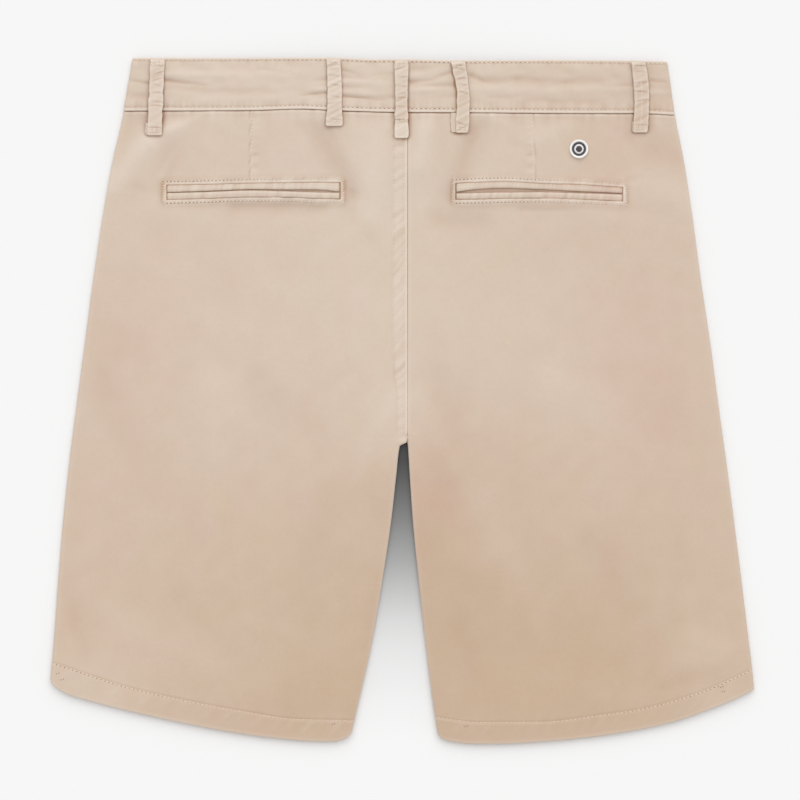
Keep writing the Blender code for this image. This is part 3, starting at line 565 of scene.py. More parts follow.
def along_lines(table, across, down, taper=0.0):
    """Sum of the ridges and troughs of a table at a place; taper draws each one's end out."""
    total = np.zeros(np.broadcast(across, down).shape)
    for fold in table:
        run = np.array([fold.to_across - fold.across, fold.to_down - fold.down])
        share = ((across - fold.across) * run[0] + (down - fold.down) * run[1]) / (run @ run)
        share = np.clip(share, 0, 1)
        off = np.hypot(across - fold.across - share * run[0], down - fold.down - share * run[1])
        drawn = 1 - taper * share ** 2
        total = total + fold.height * drawn * bump(off, fold.width * (1 - 0.4 * taper * share))
    return total


def ripple(across, down, seed, shortest, longest, waves=16):
    """An uneven surface of about unit height: waves of many directions and lengths."""
    draw = np.random.default_rng(seed)
    total = 0.0
    for _ in range(waves):
        length, angle, phase = draw.uniform(shortest, longest), *draw.uniform(0, 2 * np.pi, 2)
        along = across * math.cos(angle) + down * math.sin(angle)
        total = total + np.sin(2 * np.pi * along / length + phase)
    return total / math.sqrt(waves / 2)


def puckers(along, seed, shortest, longest, waves=6):
    """The same along a line, as a sewn edge puckers."""
    return ripple(along, 0 * along, seed, shortest, longest, waves)


def unit(vectors):
    return vectors / np.linalg.norm(vectors, axis=-1, keepdims=True)


def stretch(first, last, steps):
    """Steps from one value to another, without the first."""
    return [first + (last - first) * k / steps for k in range(1, steps + 1)]


ACROSS_SHIFT = (HEMS["left"][0].across - HEMS["right"][0].across) / 2
DOWN_SHIFT = max(p.down for p in HEMS["right"]) / 2


def world(points):
    """Garment places in millimetres to the model's places in metres."""
    points = np.asarray(points, float)
    return np.stack(
        [points[..., 0] + ACROSS_SHIFT, DOWN_SHIFT - points[..., 1], points[..., 2]], axis=-1
    ) * MM


# --- the garment's form, as in its solids -------------------------------------------------------
def waist_half(side):
    return getattr(SIDES[1], side)


def front_shift(side, across):
    """How much lower the front waist lies than the back waist."""
    return FRONT_DIP * (1 - np.clip(np.abs(across) / waist_half(side), 0, 1) ** 2)


def waist_line(points, side, layer, across):
    """The waistband's top or lower edge on the back or front layer."""
    if layer == "back":
        return line_at(points, across)
    return line_at(points, SIGN[side] * waist_half(side)) + front_shift(side, across)


def back_lift(across, down):
    """Rise of the back layer over the closure and the front loops."""
    return BACK_LIFT * before(np.abs(across), LIFT_ACROSS) * before(down, LIFT_DOWN)


def front_lift(across, down):
    """Rise of the front layer over the loops and the button that it lies on."""
    over = before(np.abs(across), FRONT_LIFT_ACROSS) * before(down, FRONT_LIFT_DOWN)
    return FRONT_LIFT * over


def band_lap(side, across):
    """Rise of the right front over the left one along the waistband's closure."""
    return BAND_LAP * before(across, BAND_LAP_END) * (side == "right")


def panel_lap(side, across, down):
    """The same on the panels, from the closure down the fly."""
    band = band_lap(side, across)
    fly = (CLOTH + SEAM) * before(across, FLY_LAP_END) * before(down, FLY_END) * (side == "right")
    return band + (fly - band) * past(down, LAP_CHANGE)


def back_height(across, down, to_hem):
    """Middle of the back panels. to_hem is the distance from there down to the hem."""
    hem = (HEM_RISE - BODY_RISE) * before(to_hem, HEM_FADE)
    soft = along_lines(FOLDS, across, down) * past(down, FOLDS_BEGIN) * past(to_hem, FOLDS_END)
    return CLOTH / 2 + BODY_RISE + hem + back_lift(across, down) + soft


def front_height(side, across, down):
    """Middle of the front panels."""
    return CLOTH / 2 + front_lift(across, down) + panel_lap(side, across, down)


def fold_radius(side, across, down, to_hem):
    """Radius of a side or inseam fold: half the back panel's rise over the front one."""
    return (back_height(across, down, to_hem) - front_height(side, across, down)) / 2


def band_back_height(across, down):
    """Middle of the waistband's back."""
    return CLOTH / 2 + BODY_RISE + BAND_PROUD + back_lift(across, down)


def band_front_height(side, across, down):
    """Middle of its front."""
    return BAND / 2 + front_lift(across, down) + band_lap(side, across)


def pocket_share(side, across):
    """Where a place at the pockets' level falls between the side fold and the seat strip."""
    level = (POCKETS[side][0].top + POCKETS[side][0].low) / 2
    outer = edge_at(SIDES, side, level) - CLOTH / 2
    side_line = outer - fold_radius(side, SIGN[side] * outer, level, np.array(UP_THE_LEG))
    return float((side_line - abs(across)) / (side_line - SEAM / 2 - SEAT_STRIP))


def panel_columns(side, layer):
    """Each column's share round the side fold, across the middle and to the inner edge."""
    if layer == "back":
        ends = sorted((POCKETS[side][0].across, POCKETS[side][-1].across), key=abs, reverse=True)
        outer, inner = (pocket_share(side, end) for end in ends)
        mm = (inner - outer) / abs(ends[0] - ends[1])
        middle = stretch(0, outer - 4 * mm, 27) + stretch(outer - 4 * mm, outer - 0.6 * mm, 5)
        middle += [outer - 0.15 * mm, outer + 0.25 * mm]
        middle += stretch(outer + 0.25 * mm, outer + 4 * mm, 4)
        middle += stretch(outer + 4 * mm, inner - 4 * mm, 80)
        middle += stretch(inner - 4 * mm, inner - 0.25 * mm, 4) + [inner + 0.15 * mm]
        middle += stretch(inner + 0.6 * mm, inner + 4 * mm, 5) + stretch(inner + 4 * mm, 1, 20)
    else:
        middle = stretch(0, 1, 62)
    columns = [(share, 0.0, 1.0) for share in SEAM_SHARES + (1.0,)]
    columns += [(1.0, share, 1.0) for share in middle[:-1]]
    columns += [(1.0, 1.0, share) for share in STRIP_SHARES]
    return np.array(columns).T


def upper_edge(side, layer, columns):
    """Distance below the waist of a panel's waist seam, in each column."""
    round_side, middle, to_inner = columns
    turn = BODY_RISE / 2
    outer = edge_at(SIDES, side, BAND_DEPTH) - CLOTH / 2
    across = (outer - turn) * (1 - middle) + SEAT_STRIP * (middle - 1 + to_inner)
    across = across + turn * np.cos(round_side * np.pi / 2)
    return waist_line(WAIST_SEAM, side, layer, SIGN[side] * across) + SEAM


def hem_across(side, columns):
    """Distance across of each column at the hem."""
    round_side, middle, to_inner = columns
    turn = HEM_RISE / 2
    outer, inner = HEMS[side][0].across - CLOTH / 2, HEMS[side][-1].across + CLOTH / 2
    across = outer - turn + middle * (inner - outer + 2 * turn)
    return across + turn * (np.cos(round_side * np.pi / 2) - np.cos(to_inner * np.pi / 2))


def row_lines(side, layer, columns):
    """The lines that rows follow: each one's distance below the waist in each column."""
    flat = np.ones(columns.shape[1])
    lines = {
        "waist": upper_edge(side, layer, columns),
        "crotch": CROTCH_DOWN * flat,
        "hem_stitch": line_at(HEM_STITCH[side], hem_across(side, columns)),
        "hem": line_at(HEMS[side], hem_across(side, columns)) - FOLD_RADIUS - CLOTH / 2,
    }
    if layer == "back":
        level = POCKETS[side][0].top * flat[None]
        across = panel_surface(side, layer, level, lines, columns)[0, :, 0]
        for line, name in (("pocket_top", "top"), ("slit", "slit"), ("pocket_low", "low")):
            lines[line] = pocket_at(side, name, across)
    return lines


def rows_between(stops, lines):
    """Distance below the waist of every row in every column."""
    rows = []
    for stop in stops:
        at = lines[stop.line] + stop.offset
        rows += stretch(rows[-1], at, stop.steps) if stop.steps else [at]
    return np.array(rows)


def panel_surface(side, layer, down, lines, columns):
    """Places of a panel's middle surface, for rows at these distances below the waist.

    At a side or inseam fold the panel takes a quarter turn, and the other layer the rest.
    At the seat seam it ends in a flat strip, which becomes the inseam's fold at the crotch.
    """
    sign = SIGN[side]
    round_side, middle, to_inner = columns
    side_turn, inner_turn = round_side * np.pi / 2, to_inner * np.pi / 2
    to_hem = lines["hem"] - down
    side_down, inner_down = down[:, :1], down[:, -1:]

    drop, narrow = past(inner_down, CROTCH_DIP), past(inner_down, CROTCH_NARROWS)
    outer = edge_at(SIDES, side, side_down) - CLOTH / 2
    inner = edge_at(INSEAMS, side, inner_down) + SEAM / 2 + drop * (CLOTH - SEAM) / 2
    if layer == "front":
        inner = inner - (FLY_LAP + SEAM / 2) * before(inner_down, FLY_NARROWS)
    side_radius = fold_radius(side, sign * outer, side_down, to_hem[:, :1])
    inner_radius = fold_radius(side, sign * inner, inner_down, to_hem[:, -1:])

    strip = SEAT_STRIP * (1 - narrow) + inner_radius * narrow
    side_line, inner_line = outer - side_radius, inner + strip
    across = side_line + middle * (inner_line - side_line) + side_radius * np.cos(side_turn)
    across = across - SEAT_STRIP * (1 - to_inner) * (1 - narrow)
    across = sign * (across - inner_radius * np.cos(inner_turn) * narrow)

    fall = (side_radius - SEAM / 2) * (1 - np.sin(side_turn))
    fall = fall + drop * (inner_radius - SEAM / 2) * (1 - np.sin(inner_turn))
    if layer == "back":
        height = back_height(across, down, to_hem) - fall
    else:
        height = front_height(side, across, down) + fall
    return np.stack([across, down, height], axis=-1)


def outward(side, layer, columns):
    """Unit normals across a leg, out of the garment: level at its seams, upright between."""
    round_side, _, to_inner = columns
    level = np.cos(round_side * np.pi / 2) - np.cos(to_inner * np.pi / 2)
    level = level * SIGN[side]
    upright = np.sqrt(1 - level ** 2) * (1 if layer == "back" else -1)
    return np.stack([level, 0 * level, upright], axis=-1)


# --- relief of the visible cloth ----------------------------------------------------------------
def beside_pocket(side, across):
    """How far a place lies off the ends of a pocket's window, below 0 between them."""
    return np.maximum(POCKETS[side][0].across - across, across - POCKETS[side][-1].across)


def window_gap(side, across, down):
    """How far a place lies outside a pocket's window, below 0 inside it."""
    beside = beside_pocket(side, across)
    above = pocket_at(side, "top", across) - down
    below = down - pocket_at(side, "low", across)
    upright = np.maximum(above, below)
    corner = np.hypot(np.maximum(beside, 0), np.maximum(upright, 0))
    return np.where((beside > 0) & (upright > 0), corner, np.maximum(beside, upright))


def pocket_relief(side, across, down):
    """The panel raised round a pocket, rolled in at the window's edge, with a stitch ditch."""
    gap = window_gap(side, across, down)
    pucker = puckers(across + 0.6 * down, 51, 3.2, 7.0) * bump(gap - 1.6, 2.4)
    ditch = bump(gap - POCKET_STITCH, 0.6)
    height = 1.15 * bump(gap, 5.5) - 0.3 * bump(gap, 0.4) - 0.22 * ditch + 0.12 * pucker
    wear = 0.38 * bump(gap - 1.1, 0.7) - 0.16 * ditch - 0.8 * bump(gap, 0.35) + 0.14 * pucker
    wear = wear - 0.12 * bump(gap - POCKET_STITCH - 2.5, 2.0)
    beyond = beside_pocket(side, across)
    wear = wear - 0.7 * bump(gap, 0.5) * bump(beyond, 0.8)
    tacked = past(beyond, (POCKET_STITCH - 0.6, POCKET_STITCH + 0.4))
    wear = wear - 0.4 * tacked * bump(gap - POCKET_STITCH - 1.1, 0.6)
    outside = gap > 0.05
    return np.where(outside, height, 0.0), np.where(outside, wear, -0.55)


def dart_relief(side, across, down):
    """A dart's pressed seam: a fine ditch, a low ridge beside it and short puckers."""
    dart = DARTS[side]
    share = np.clip((down - dart.down) / (dart.to_down - dart.down), 0, 1)
    off = across - dart.across - share * (dart.to_across - dart.across)
    run = before(down, (dart.to_down - 3, dart.to_down + 2))
    beside = bump(off - dart.stitch * 0.75, 1.2)
    pucker = puckers(down, 61, 3.0, 7.5) * bump(off - 2.4 * dart.stitch, 3.0)
    height = 0.2 * beside - 0.28 * bump(off, 0.6) + 0.12 * pucker
    return run * height, run * (0.2 * beside - 0.42 * bump(off, 0.55) + 0.12 * pucker)


def seat_relief(side, across, down):
    """The felled seat seam: its strip laps over the right panel and puckers aslant."""
    run, step = before(down, SEAT_LAP_END), before(down, (245, 282))
    if side == "right":
        height = 0.15 * bump(across - 3.0, 1.8) - 0.6 * bump(across, 1.2) * step
        line = (0.35 * step + 0.55 * before(down, (170, 255))) * bump(across, 0.55)
        pale = 0.12 * bump(across - 1.8, 1.1) + 0.3 * bump(across, 0.8) * (1 - step)
        return run * height, run * (pale - line)
    width = -across_at(SEAT_ROWS[0], down) + 0.5
    on_strip = past(across, (-width - 0.4, -width + 0.5))
    rows = sum(bump(across - across_at(row, down), 0.5) for row in SEAT_ROWS)
    drawn = (0.5 + 0.5 * past(puckers(down, 43, 18, 60), (-1.0, 1.0))) * past(-across, (0.5, 2.5))
    slope = 0.25 + 1.2 * bump(down - 190, 70)
    along = down + slope * across + 0.5 * ripple(across, down, 42, 8, 18)
    aslant = np.tanh(puckers(along, 44, 3.8, 7.5, 9)) * on_strip * drawn
    strip = 0.5 * on_strip * step - 0.12 * rows + 0.1 * aslant
    strip = strip - 0.14 * bump(across + width + 0.3, 0.7)
    wear = 0.17 * on_strip + np.where(aslant > 0, 0.2, 0.3) * aslant - 0.06 * rows
    wear = wear + 0.42 * bump(across + 0.6, 0.7)
    rim = 0.5 * bump(np.hypot((across + 3) / 4, (down - CROTCH_DOWN + 2) / 2), 1.0)
    return run * strip, run * (wear - 0.1 * bump(across + width + 0.5, 0.8)) + rim


def hem_relief(side, across, below_stitch, to_hem):
    """The double hem: thicker below its stitch line, and puckered by it."""
    strength = 1.0 if side == "left" else 0.7
    ditch = bump(below_stitch + 0.5, 0.6)
    seed = 31 if side == "left" else 33
    drawn = puckers(across + 0.5 * below_stitch, seed, 6.0, 16.0) * strength
    reach = np.where(below_stitch > 0, bump(below_stitch - 3, 8), bump(below_stitch, 4.0))
    thick = 0.28 * past(below_stitch, (0, 2.0))
    height = thick - 0.2 * ditch + 0.035 * drawn * past(to_hem, (0.0, 3.0)) * reach
    patch = np.maximum(puckers(across + 0.9 * below_stitch, seed + 5, 5.0, 12.0), 0)
    patch = patch * past(below_stitch, (0, 3)) * strength
    wear = 0.14 * bump(below_stitch - 0.9, 0.7) - 0.2 * strength * ditch + 0.02 * drawn * reach
    wear = wear + 0.05 * patch * reach
    return height, wear + 0.16 * bump(to_hem, 1.3)


def waist_relief(across, below):
    """A panel's edge at the waist seam: it dips into the seam and puckers below it."""
    pucker = puckers(across, 21, 4.0, 11.0) * np.exp(-np.abs(below - 1.5) / 5)
    height = 0.2 * bump(below - 1.8, 1.2) - 0.15 * bump(below, 0.6) + 0.14 * pucker
    line = 0.6 + 0.2 * puckers(across, 22, 12, 40) - 0.25 * past(across, (40, 160))
    line = line + 0.5 * before(np.abs(across + 6), (44, 62))
    return height, 0.16 * bump(below - 1.5, 0.9) - line * bump(below, 0.5) + 0.1 * pucker


def loop_centre(row, down):
    """Distance across of a loop's middle line at a distance below the waist."""
    middle = (row.top + row.low) / 2
    places = row.top_across, row.middle_across, row.low_across
    return curve((row.top, middle, row.low), places, down)


def loop_shade(across, down):
    """Shade pressed into the cloth beside and below the back's loops, most on their right."""
    total = 0.0
    seam = line_at(WAIST_SEAM, across)
    for row in BACK_LOOPS:
        off = across - loop_centre(row, down)
        beside = np.maximum(np.abs(off) - LOOP_WIDTH / 2, 0)
        along = past(down, (row.top, row.top + 2)) * before(down, (row.low - 0.5, row.low + 1.5))
        wide = np.where(off > 0, 5.0, 3.0)
        pressed = np.where(off > 0, row.shade[1], row.shade[0])
        total = total - along * (pressed * bump(beside, 0.6) + 0.12 * bump(beside, wide))
        under = past(down, (seam - 1.5, seam + 1)) * before(down, (row.low - 2, row.low + 1))
        total = total - under * 0.9 * pressed * bump(beside - 0.4, np.where(off > 0, 2.0, 1.3))
        total = total - 0.35 * bump(down - seam, 1.6) * bump(beside, 1.4) * (down < row.low)
        below = before(np.abs(off), (LOOP_WIDTH / 2 - 2, LOOP_WIDTH / 2))
        total = total - below * (down > row.low - 3) * 0.5 * bump(down - row.low, 0.9)
    return total


def panel_relief(side, layer, places, lines):
    """Height added to a panel outwards, in millimetres, and how worn (+) or shaded (-) it is."""
    across, down = places[..., 0], places[..., 1]
    below_stitch, to_hem = down - lines["hem_stitch"], lines["hem"] - down
    hem, hem_wear = hem_relief(side, across, below_stitch, to_hem)
    waist, waist_wear = waist_relief(across, down - lines["waist"])
    if layer == "front":
        pressed = along_lines(FRONT_CREASES, across, down) * past(to_hem, (20, 50))
        thick = 0.28 * past(below_stitch, (0, 2.0))
        wear = hem_wear + waist_wear - 0.2 * pressed
        return -np.abs(hem - thick) - np.abs(waist) * 0.5 - pressed, wear
    pocket, pocket_wear = pocket_relief(side, across, down)
    dart, dart_wear = dart_relief(side, across, down)
    seat, seat_wear = seat_relief(side, across, down)
    edge = edge_at(SIDES, side, down) - np.abs(across)
    inside = np.where(window_gap(side, across, down) > 0.05, 1.0, 0.35) * past(to_hem, (2, 22))
    inside = inside * past(edge, (2, 16))
    folds = along_lines(FOLDS, across, down) * past(down, FOLDS_BEGIN) * past(to_hem, FOLDS_END)
    creases = along_lines(CREASES, across, down, 0.7) * inside
    soft = (0.09 * ripple(across, down, 11, 18, 60) + 0.025 * ripple(across, down, 12, 6, 14)) * inside
    drawn = 0.4 + 0.6 * before(down, (140, 230))
    folds = folds * drawn
    height = hem + waist + pocket + dart + seat + soft + 1.4 * creases + 0.75 * folds * inside
    wear = hem_wear + waist_wear + pocket_wear + dart_wear + seat_wear + loop_shade(across, down)
    shaded = np.where(folds < 0, 0.24, 0.34) * folds + np.where(creases < 0, 0.3, 0.36) * creases
    inner = np.abs(across) - edge_at(INSEAMS, side, down)
    shaded = shaded + 0.5 * bump(inner, 1.3) * past(down, (CROTCH_DOWN - 3, CROTCH_DOWN + 6))
    wear = wear + shaded + 0.1 * soft
    return height, wear + (0.2 if side == "left" else 0.1) * bump(edge, 2.4)


def band_relief(across, down, top_gap, low_gap, on_back):
    """The same for the waistband, from its gaps to its two edges."""
    ditches = 0.24 * bump(top_gap - TOP_STITCH, 0.6) + 0.26 * bump(low_gap - SEAM_STITCH, 0.7)
    edges = 0.35 * bump(top_gap, 0.5) + 0.15 * bump(low_gap, 0.4)
    wear = -0.45 * bump(top_gap - TOP_STITCH, 0.7) - 0.3 * bump(low_gap - SEAM_STITCH, 0.9)
    wear = wear + 0.8 * bump(low_gap - 1.15, 0.65) + 0.45 * bump(top_gap - 0.2, 0.6)
    wear = wear - (0.8 - 0.3 * past(across, (60, 170))) * bump(low_gap, 0.3)
    wear = wear - 0.4 * before(np.abs(across + 6), (44, 62)) * bump(low_gap, 0.5)
    roll = 0.2 * bump(low_gap - 1.3, 0.9)
    low_pucker = puckers(across, 71, 3.6, 9.0) * bump(low_gap - 4, 4)
    top_pucker = puckers(across, 72, 3.6, 9.0) * bump(top_gap - 3, 3)
    wrinkles = along_lines(BAND_WRINKLES, across, down, 0.85) * past(top_gap, (0, 4))
    wrinkles = wrinkles * past(low_gap, (0, 5))
    soft = 0.08 * ripple(across, 2.5 * down, 73, 14, 40) * past(low_gap, (0, 5))
    height = np.where(
        on_back,
        2.0 * wrinkles + soft + roll + 0.14 * low_pucker + 0.1 * top_pucker - ditches - edges,
        -ditches - edges - 0.1 * np.abs(low_pucker) - 0.08 * np.abs(ripple(across, down, 74, 12, 30)),
    )
    wear = wear + 0.08 * low_pucker + 0.05 * top_pucker
    streaks = np.where(wrinkles < 0, 0.8, 0.6) * wrinkles
    return height, wear + on_back * (streaks + 0.4 * soft + loop_shade(across, down))


def patches(table, across, down):
    """Sum of the soft patches of a table at a place."""
    return sum(
        patch.amount * bump(np.hypot((across - patch.across) / patch.reach_across,
                                     (down - patch.down) / patch.reach_down), 1.0)
        for patch in table
    )


def tone(across, down):
    """How deep the colour is, from 0 to 1."""
    return 0.8 * np.clip(np.interp(down, *zip(*TONE_DOWN)) + patches(TONES, across, down), 0, 1.25)


# --- finishes -----------------------------------------------------------------------------------
def feed(socket, value):
    """Joins a socket to another one, or sets it to a value."""
    if isinstance(value, bpy.types.NodeSocket):
        socket.id_data.links.new(value, socket)
    else:
        socket.default_value = value


def node_maker(tree):
    """A function that adds a node to a tree, with its inputs, by name or place, and settings."""
    def add(kind, label="", inputs=None, **settings):
        node = tree.nodes.new(kind)
        node.label = label
        for key, value in settings.items():
            setattr(node, key, value)
        for key, value in (inputs or {}).items():
            feed(node.inputs[key], value)
        return node

    return add


def new_material(name):
    """An empty material with its shader and its node maker."""
    made = bpy.data.materials.new(name)
    made.use_nodes = True
    return made, made.node_tree.nodes["Principled BSDF"], node_maker(made.node_tree)


def mix(add, label, blend, factor, first, second):
    """A colour mix; each input is a socket or a value."""
    inputs = {"Factor": factor, 6: first, 7: second}
    return add("ShaderNodeMix", label, inputs, data_type="RGBA", blend_type=blend).outputs[2]


def maths(add, label, operation, *values, **settings):
    """A number from one to three inputs; each is a socket or a value."""
    inputs = dict(enumerate(values))
    return add("ShaderNodeMath", label, inputs, operation=operation, **settings).outputs[0]


def noise(add, label, size, place, **inputs):
    """Noise whose grains are about a size in millimetres."""
    inputs = {"Scale": 1 / (size * MM), "Vector": place, **inputs}
    return add("ShaderNodeTexNoise", label, inputs).outputs["Fac"]


def weave(add, shader, colour, shade, height, strength):
    """Gives a shader its colour in fine shade, and a fine bump."""
    shown = add("ShaderNodeVectorMath", "shaded", {0: colour, "Scale": shade}, operation="SCALE")
    feed(shader.inputs["Base Color"], shown.outputs[0])
    bumps = {"Strength": strength, "Distance": 0.05 * MM, "Height": height}
    feed(shader.inputs["Normal"], add("ShaderNodeBump", "fine bump", bumps).outputs["Normal"])


def twill(name, cloth):
    """Garment-dyed cotton twill: fine diagonal lines, fibre and a faded, uneven colour."""
    made, shader, add = new_material(name)
    place = add("ShaderNodeTexCoord", "place").outputs["Object"]
    grain = add("ShaderNodeUVMap", "grain", uv_map="grain").outputs["UV"]
    scale = math.pi / (5 * math.sqrt(2) * cloth.weave_pitch)
    wale = add(
        "ShaderNodeTexWave", "twill lines",
        {"Scale": scale, "Distortion": 0.6, "Detail": 1.0, "Vector": grain},
        wave_type="BANDS", bands_direction="DIAGONAL",
    ).outputs["Fac"]
    fibre, slub = noise(add, "fibre", 0.9, place, Detail=3), noise(add, "slub", 3.5, place, Detail=2)
    fade, hue = noise(add, "fade", 16, place, Detail=3), noise(add, "hue", 30, place, Detail=2)
    depth, wear, blush = (
        add("ShaderNodeAttribute", name, attribute_name=name).outputs["Fac"]
        for name in ("tone", "wear", "blush")
    )

    fade = maths(add, "uneven fading", "MULTIPLY_ADD", fade, 0.27, -0.135)
    depth = maths(add, "tone with fading", "ADD", depth, fade)
    colour = mix(add, "pale to deep", "MIX", depth, (*cloth.pale, 1), (*cloth.deep, 1))
    drift = maths(add, "drift of the dye", "MULTIPLY_ADD", hue, 1.6, -0.8)
    dye = maths(add, "dye", "ADD", drift, blush)
    for label, amount, sign, blend, tint in (
        ("pink patches", dye, 1.0, "MULTIPLY", (1.02, 0.965, 0.985)),
        ("yellow patches", dye, -1.0, "MULTIPLY", (0.99, 1.0, 0.94)),
        ("worn ridges", wear, 1.0, "MIX", cloth.worn),
        ("seam shade", wear, -1.0, "MULTIPLY", cloth.seam_shade),
    ):
        factor = maths(add, label, "MULTIPLY", amount, sign, use_clamp=True)
        colour = mix(add, label, blend, factor, colour, (*tint, 1))

    shade = maths(add, "fibre shade", "MULTIPLY_ADD", fibre, 0.09, 0.955)
    for label, source in (("slub shade", slub), ("line shade", wale)):
        shade = maths(
            add, label, "ADD", shade, maths(add, label, "MULTIPLY_ADD", source, 0.05, -0.025)
        )
    weave(add, shader, colour, shade, maths(add, "weave height", "ADD", wale, fibre), 0.35)
    shader.inputs["Roughness"].default_value = 0.92
    shader.inputs["Specular IOR Level"].default_value = 0.2
    shader.inputs["Sheen Weight"].default_value = 0.15
    shader.inputs["Sheen Roughness"].default_value = 0.5
    return made


def thread_finish(name, colour, roughness):
    """Cotton thread, deeper towards the hems like the cloth, with its ply as a fine bump."""
    made, shader, add = new_material(name)
    place = add("ShaderNodeTexCoord", "place").outputs["Object"]
    along = add("ShaderNodeSeparateXYZ", "axes", {0: place}).outputs["Y"]
    reach = {"From Min": 0.2, "From Max": -0.2, "Value": along}
    drop = add("ShaderNodeMapRange", "towards the hems", reach).outputs[0]
    deeper = tuple(value * share for value, share in zip(colour, (0.93, 0.88, 0.82)))
    dyed = mix(add, "thread dye", "MIX", drop, (*colour, 1), (*deeper, 1))
    ply = noise(add, "ply", 0.35, place)
    weave(add, shader, dyed, maths(add, "ply shade", "MULTIPLY_ADD", ply, 0.2, 0.9), ply, 0.3)
    shader.inputs["Roughness"].default_value = roughness
    shader.inputs["Specular IOR Level"].default_value = 0.25
    return made


def hard_finish(name, colour, roughness, grain_size, uneven):
    """Metal, enamel or horn: its colour clouded by noise and its gloss a little uneven."""
    made, shader, add = new_material(name)
    place = add("ShaderNodeTexCoord", "place").outputs["Object"]
    cloud = noise(add, "clouding", grain_size, place, Detail=4)
    darker = tuple(value * (1 - uneven) for value in colour)
    feed(shader.inputs["Base Color"],
         mix(add, "clouded", "MIX", cloud, (*colour, 1), (*darker, 1)))
    gloss = {"To Min": roughness * 0.8, "To Max": roughness * 1.2, "Value": cloud}
    feed(shader.inputs["Roughness"], add("ShaderNodeMapRange", "gloss", gloss).outputs[0])
    return made


def finish(name, make, *values):
    """A material by its name, made the first time it is asked for."""
    return bpy.data.materials.get(name) or make(name, *values)


# --- meshes -------------------------------------------------------------------------------------
def new_object(name, mesh, finishes):
    """An object at the origin whose place is in its mesh."""
    made = bpy.data.objects.new(name, mesh)
    for each in finishes:
        mesh.materials.append(each)
    bpy.context.scene.collection.objects.link(made)
    return made


def corners_of(mesh):
    """The points at the corners of all faces, one after another."""
    corners = np.zeros(len(mesh.loops), np.int64)
    mesh.loops.foreach_get("vertex_index", corners)
    return corners


def grid_normals(grid):
    across, down = np.gradient(grid, axis=1), np.gradient(grid, axis=0)
    return unit(np.cross(across, down))


def grain_of(grid):
    """Lengths along the cloth, in metres: across from its last column, and down from its top."""
    across = np.linalg.norm(np.diff(grid, axis=1), axis=-1)[:, ::-1].cumsum(axis=1)[:, ::-1]
    across = np.pad(across, ((0, 0), (0, 1)))
    down = np.pad(np.linalg.norm(np.diff(grid, axis=0), axis=-1).cumsum(axis=0), ((1, 0), (0, 0)))
    return np.stack([across, down], axis=-1)


def cloth_piece(node, places, wall, facing, wear, cloth, grid=None, depth=1.0):
    """A closed wall of cloth round its middle places, thinned at its edges, for one solid.

    facing is 1 where the grid's columns crossed with its rows point out, and -1 otherwise.
    A grid, in metres, is given where relief has moved the middle off its places; depth scales
    how deep the colour is.
    """
    name = f"{node}_cloth"
    grid = world(places) if grid is None else grid
    shade = tone(places[..., 0], places[..., 1]) * depth
    blush = patches(BLUSHES, places[..., 0], places[..., 1])
    rows, columns = grid.shape[:2]
    thin = np.ones((rows, columns))
    for border, amount in ((1, 0.8), (0, 0.35)):
        thin[[border, rows - 1 - border], :] = amount
    for border, amount in ((1, 0.8), (0, 0.35)):
        thin[:, [border, columns - 1 - border]] = np.minimum(
            thin[:, [border, columns - 1 - border]], amount
        )
    offset = facing * grid_normals(grid) * (thin * wall / 2)[..., None]
    points = np.concatenate([(grid + offset).reshape(-1, 3), (grid - offset).reshape(-1, 3)])
    index = np.arange(rows * columns).reshape(rows, columns)
    face = np.stack(
        [index[:-1, :-1], index[:-1, 1:], index[1:, 1:], index[1:, :-1]], axis=-1
    ).reshape(-1, 4)
    loop = np.concatenate(
        [index[0, :-1], index[:-1, -1], index[-1, :0:-1], index[:0:-1, 0]]
    )
    after, inside = np.roll(loop, -1), rows * columns
    rim = np.stack([after, loop, loop + inside, after + inside], axis=-1)
    quads = np.concatenate([face, face[:, ::-1] + inside, rim])
    if facing < 0:
        quads = quads[:, ::-1]
    mesh = bpy.data.meshes.new(name)
    mesh.from_pydata(points, [], quads.tolist())
    corners = corners_of(mesh)
    grain = np.tile(grain_of(grid).reshape(-1, 2), (2, 1))
    mesh.uv_layers.new(name="grain").data.foreach_set("uv", grain[corners].ravel())
    for label, values, inner in (("tone", shade, 1), ("wear", wear, 0), ("blush", blush, 1)):
        layer = mesh.attributes.new(label, "FLOAT", "POINT")
        both = np.concatenate([np.ravel(values), inner * np.ravel(values)])
        layer.data.foreach_set("value", both.astype(np.float32))
    mesh.shade_smooth()
    measure_cut(name, grid)
    made = new_object(name, mesh, [finish("sand_twill_cloth", twill, cloth)])
    settle(made, "sand_twill", node)


CUTS = {}                       # each cloth piece's width, length and flat area, in metres


def measure_cut(name, grid):
    """Notes the cut of a cloth piece: its longest row and column, and its area."""
    along = np.linalg.norm(np.diff(grid, axis=1), axis=-1).sum(axis=1).max()
    length = np.linalg.norm(np.diff(grid, axis=0), axis=-1).sum(axis=0).max()
    sides = np.diff(grid, axis=1)[:-1], np.diff(grid, axis=0)[:, :-1]
    area = np.linalg.norm(np.cross(*sides), axis=-1).sum()
    CUTS[name] = float(along), float(length), float(min(area, along * length))


def settle(piece, slot, *nodes):
    """A finished piece rides on the garment's one body and stands for its solids."""
    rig.ride(piece, BODY)
    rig.slot(piece, slot)
    if nodes:
        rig.replaces(piece, *nodes)


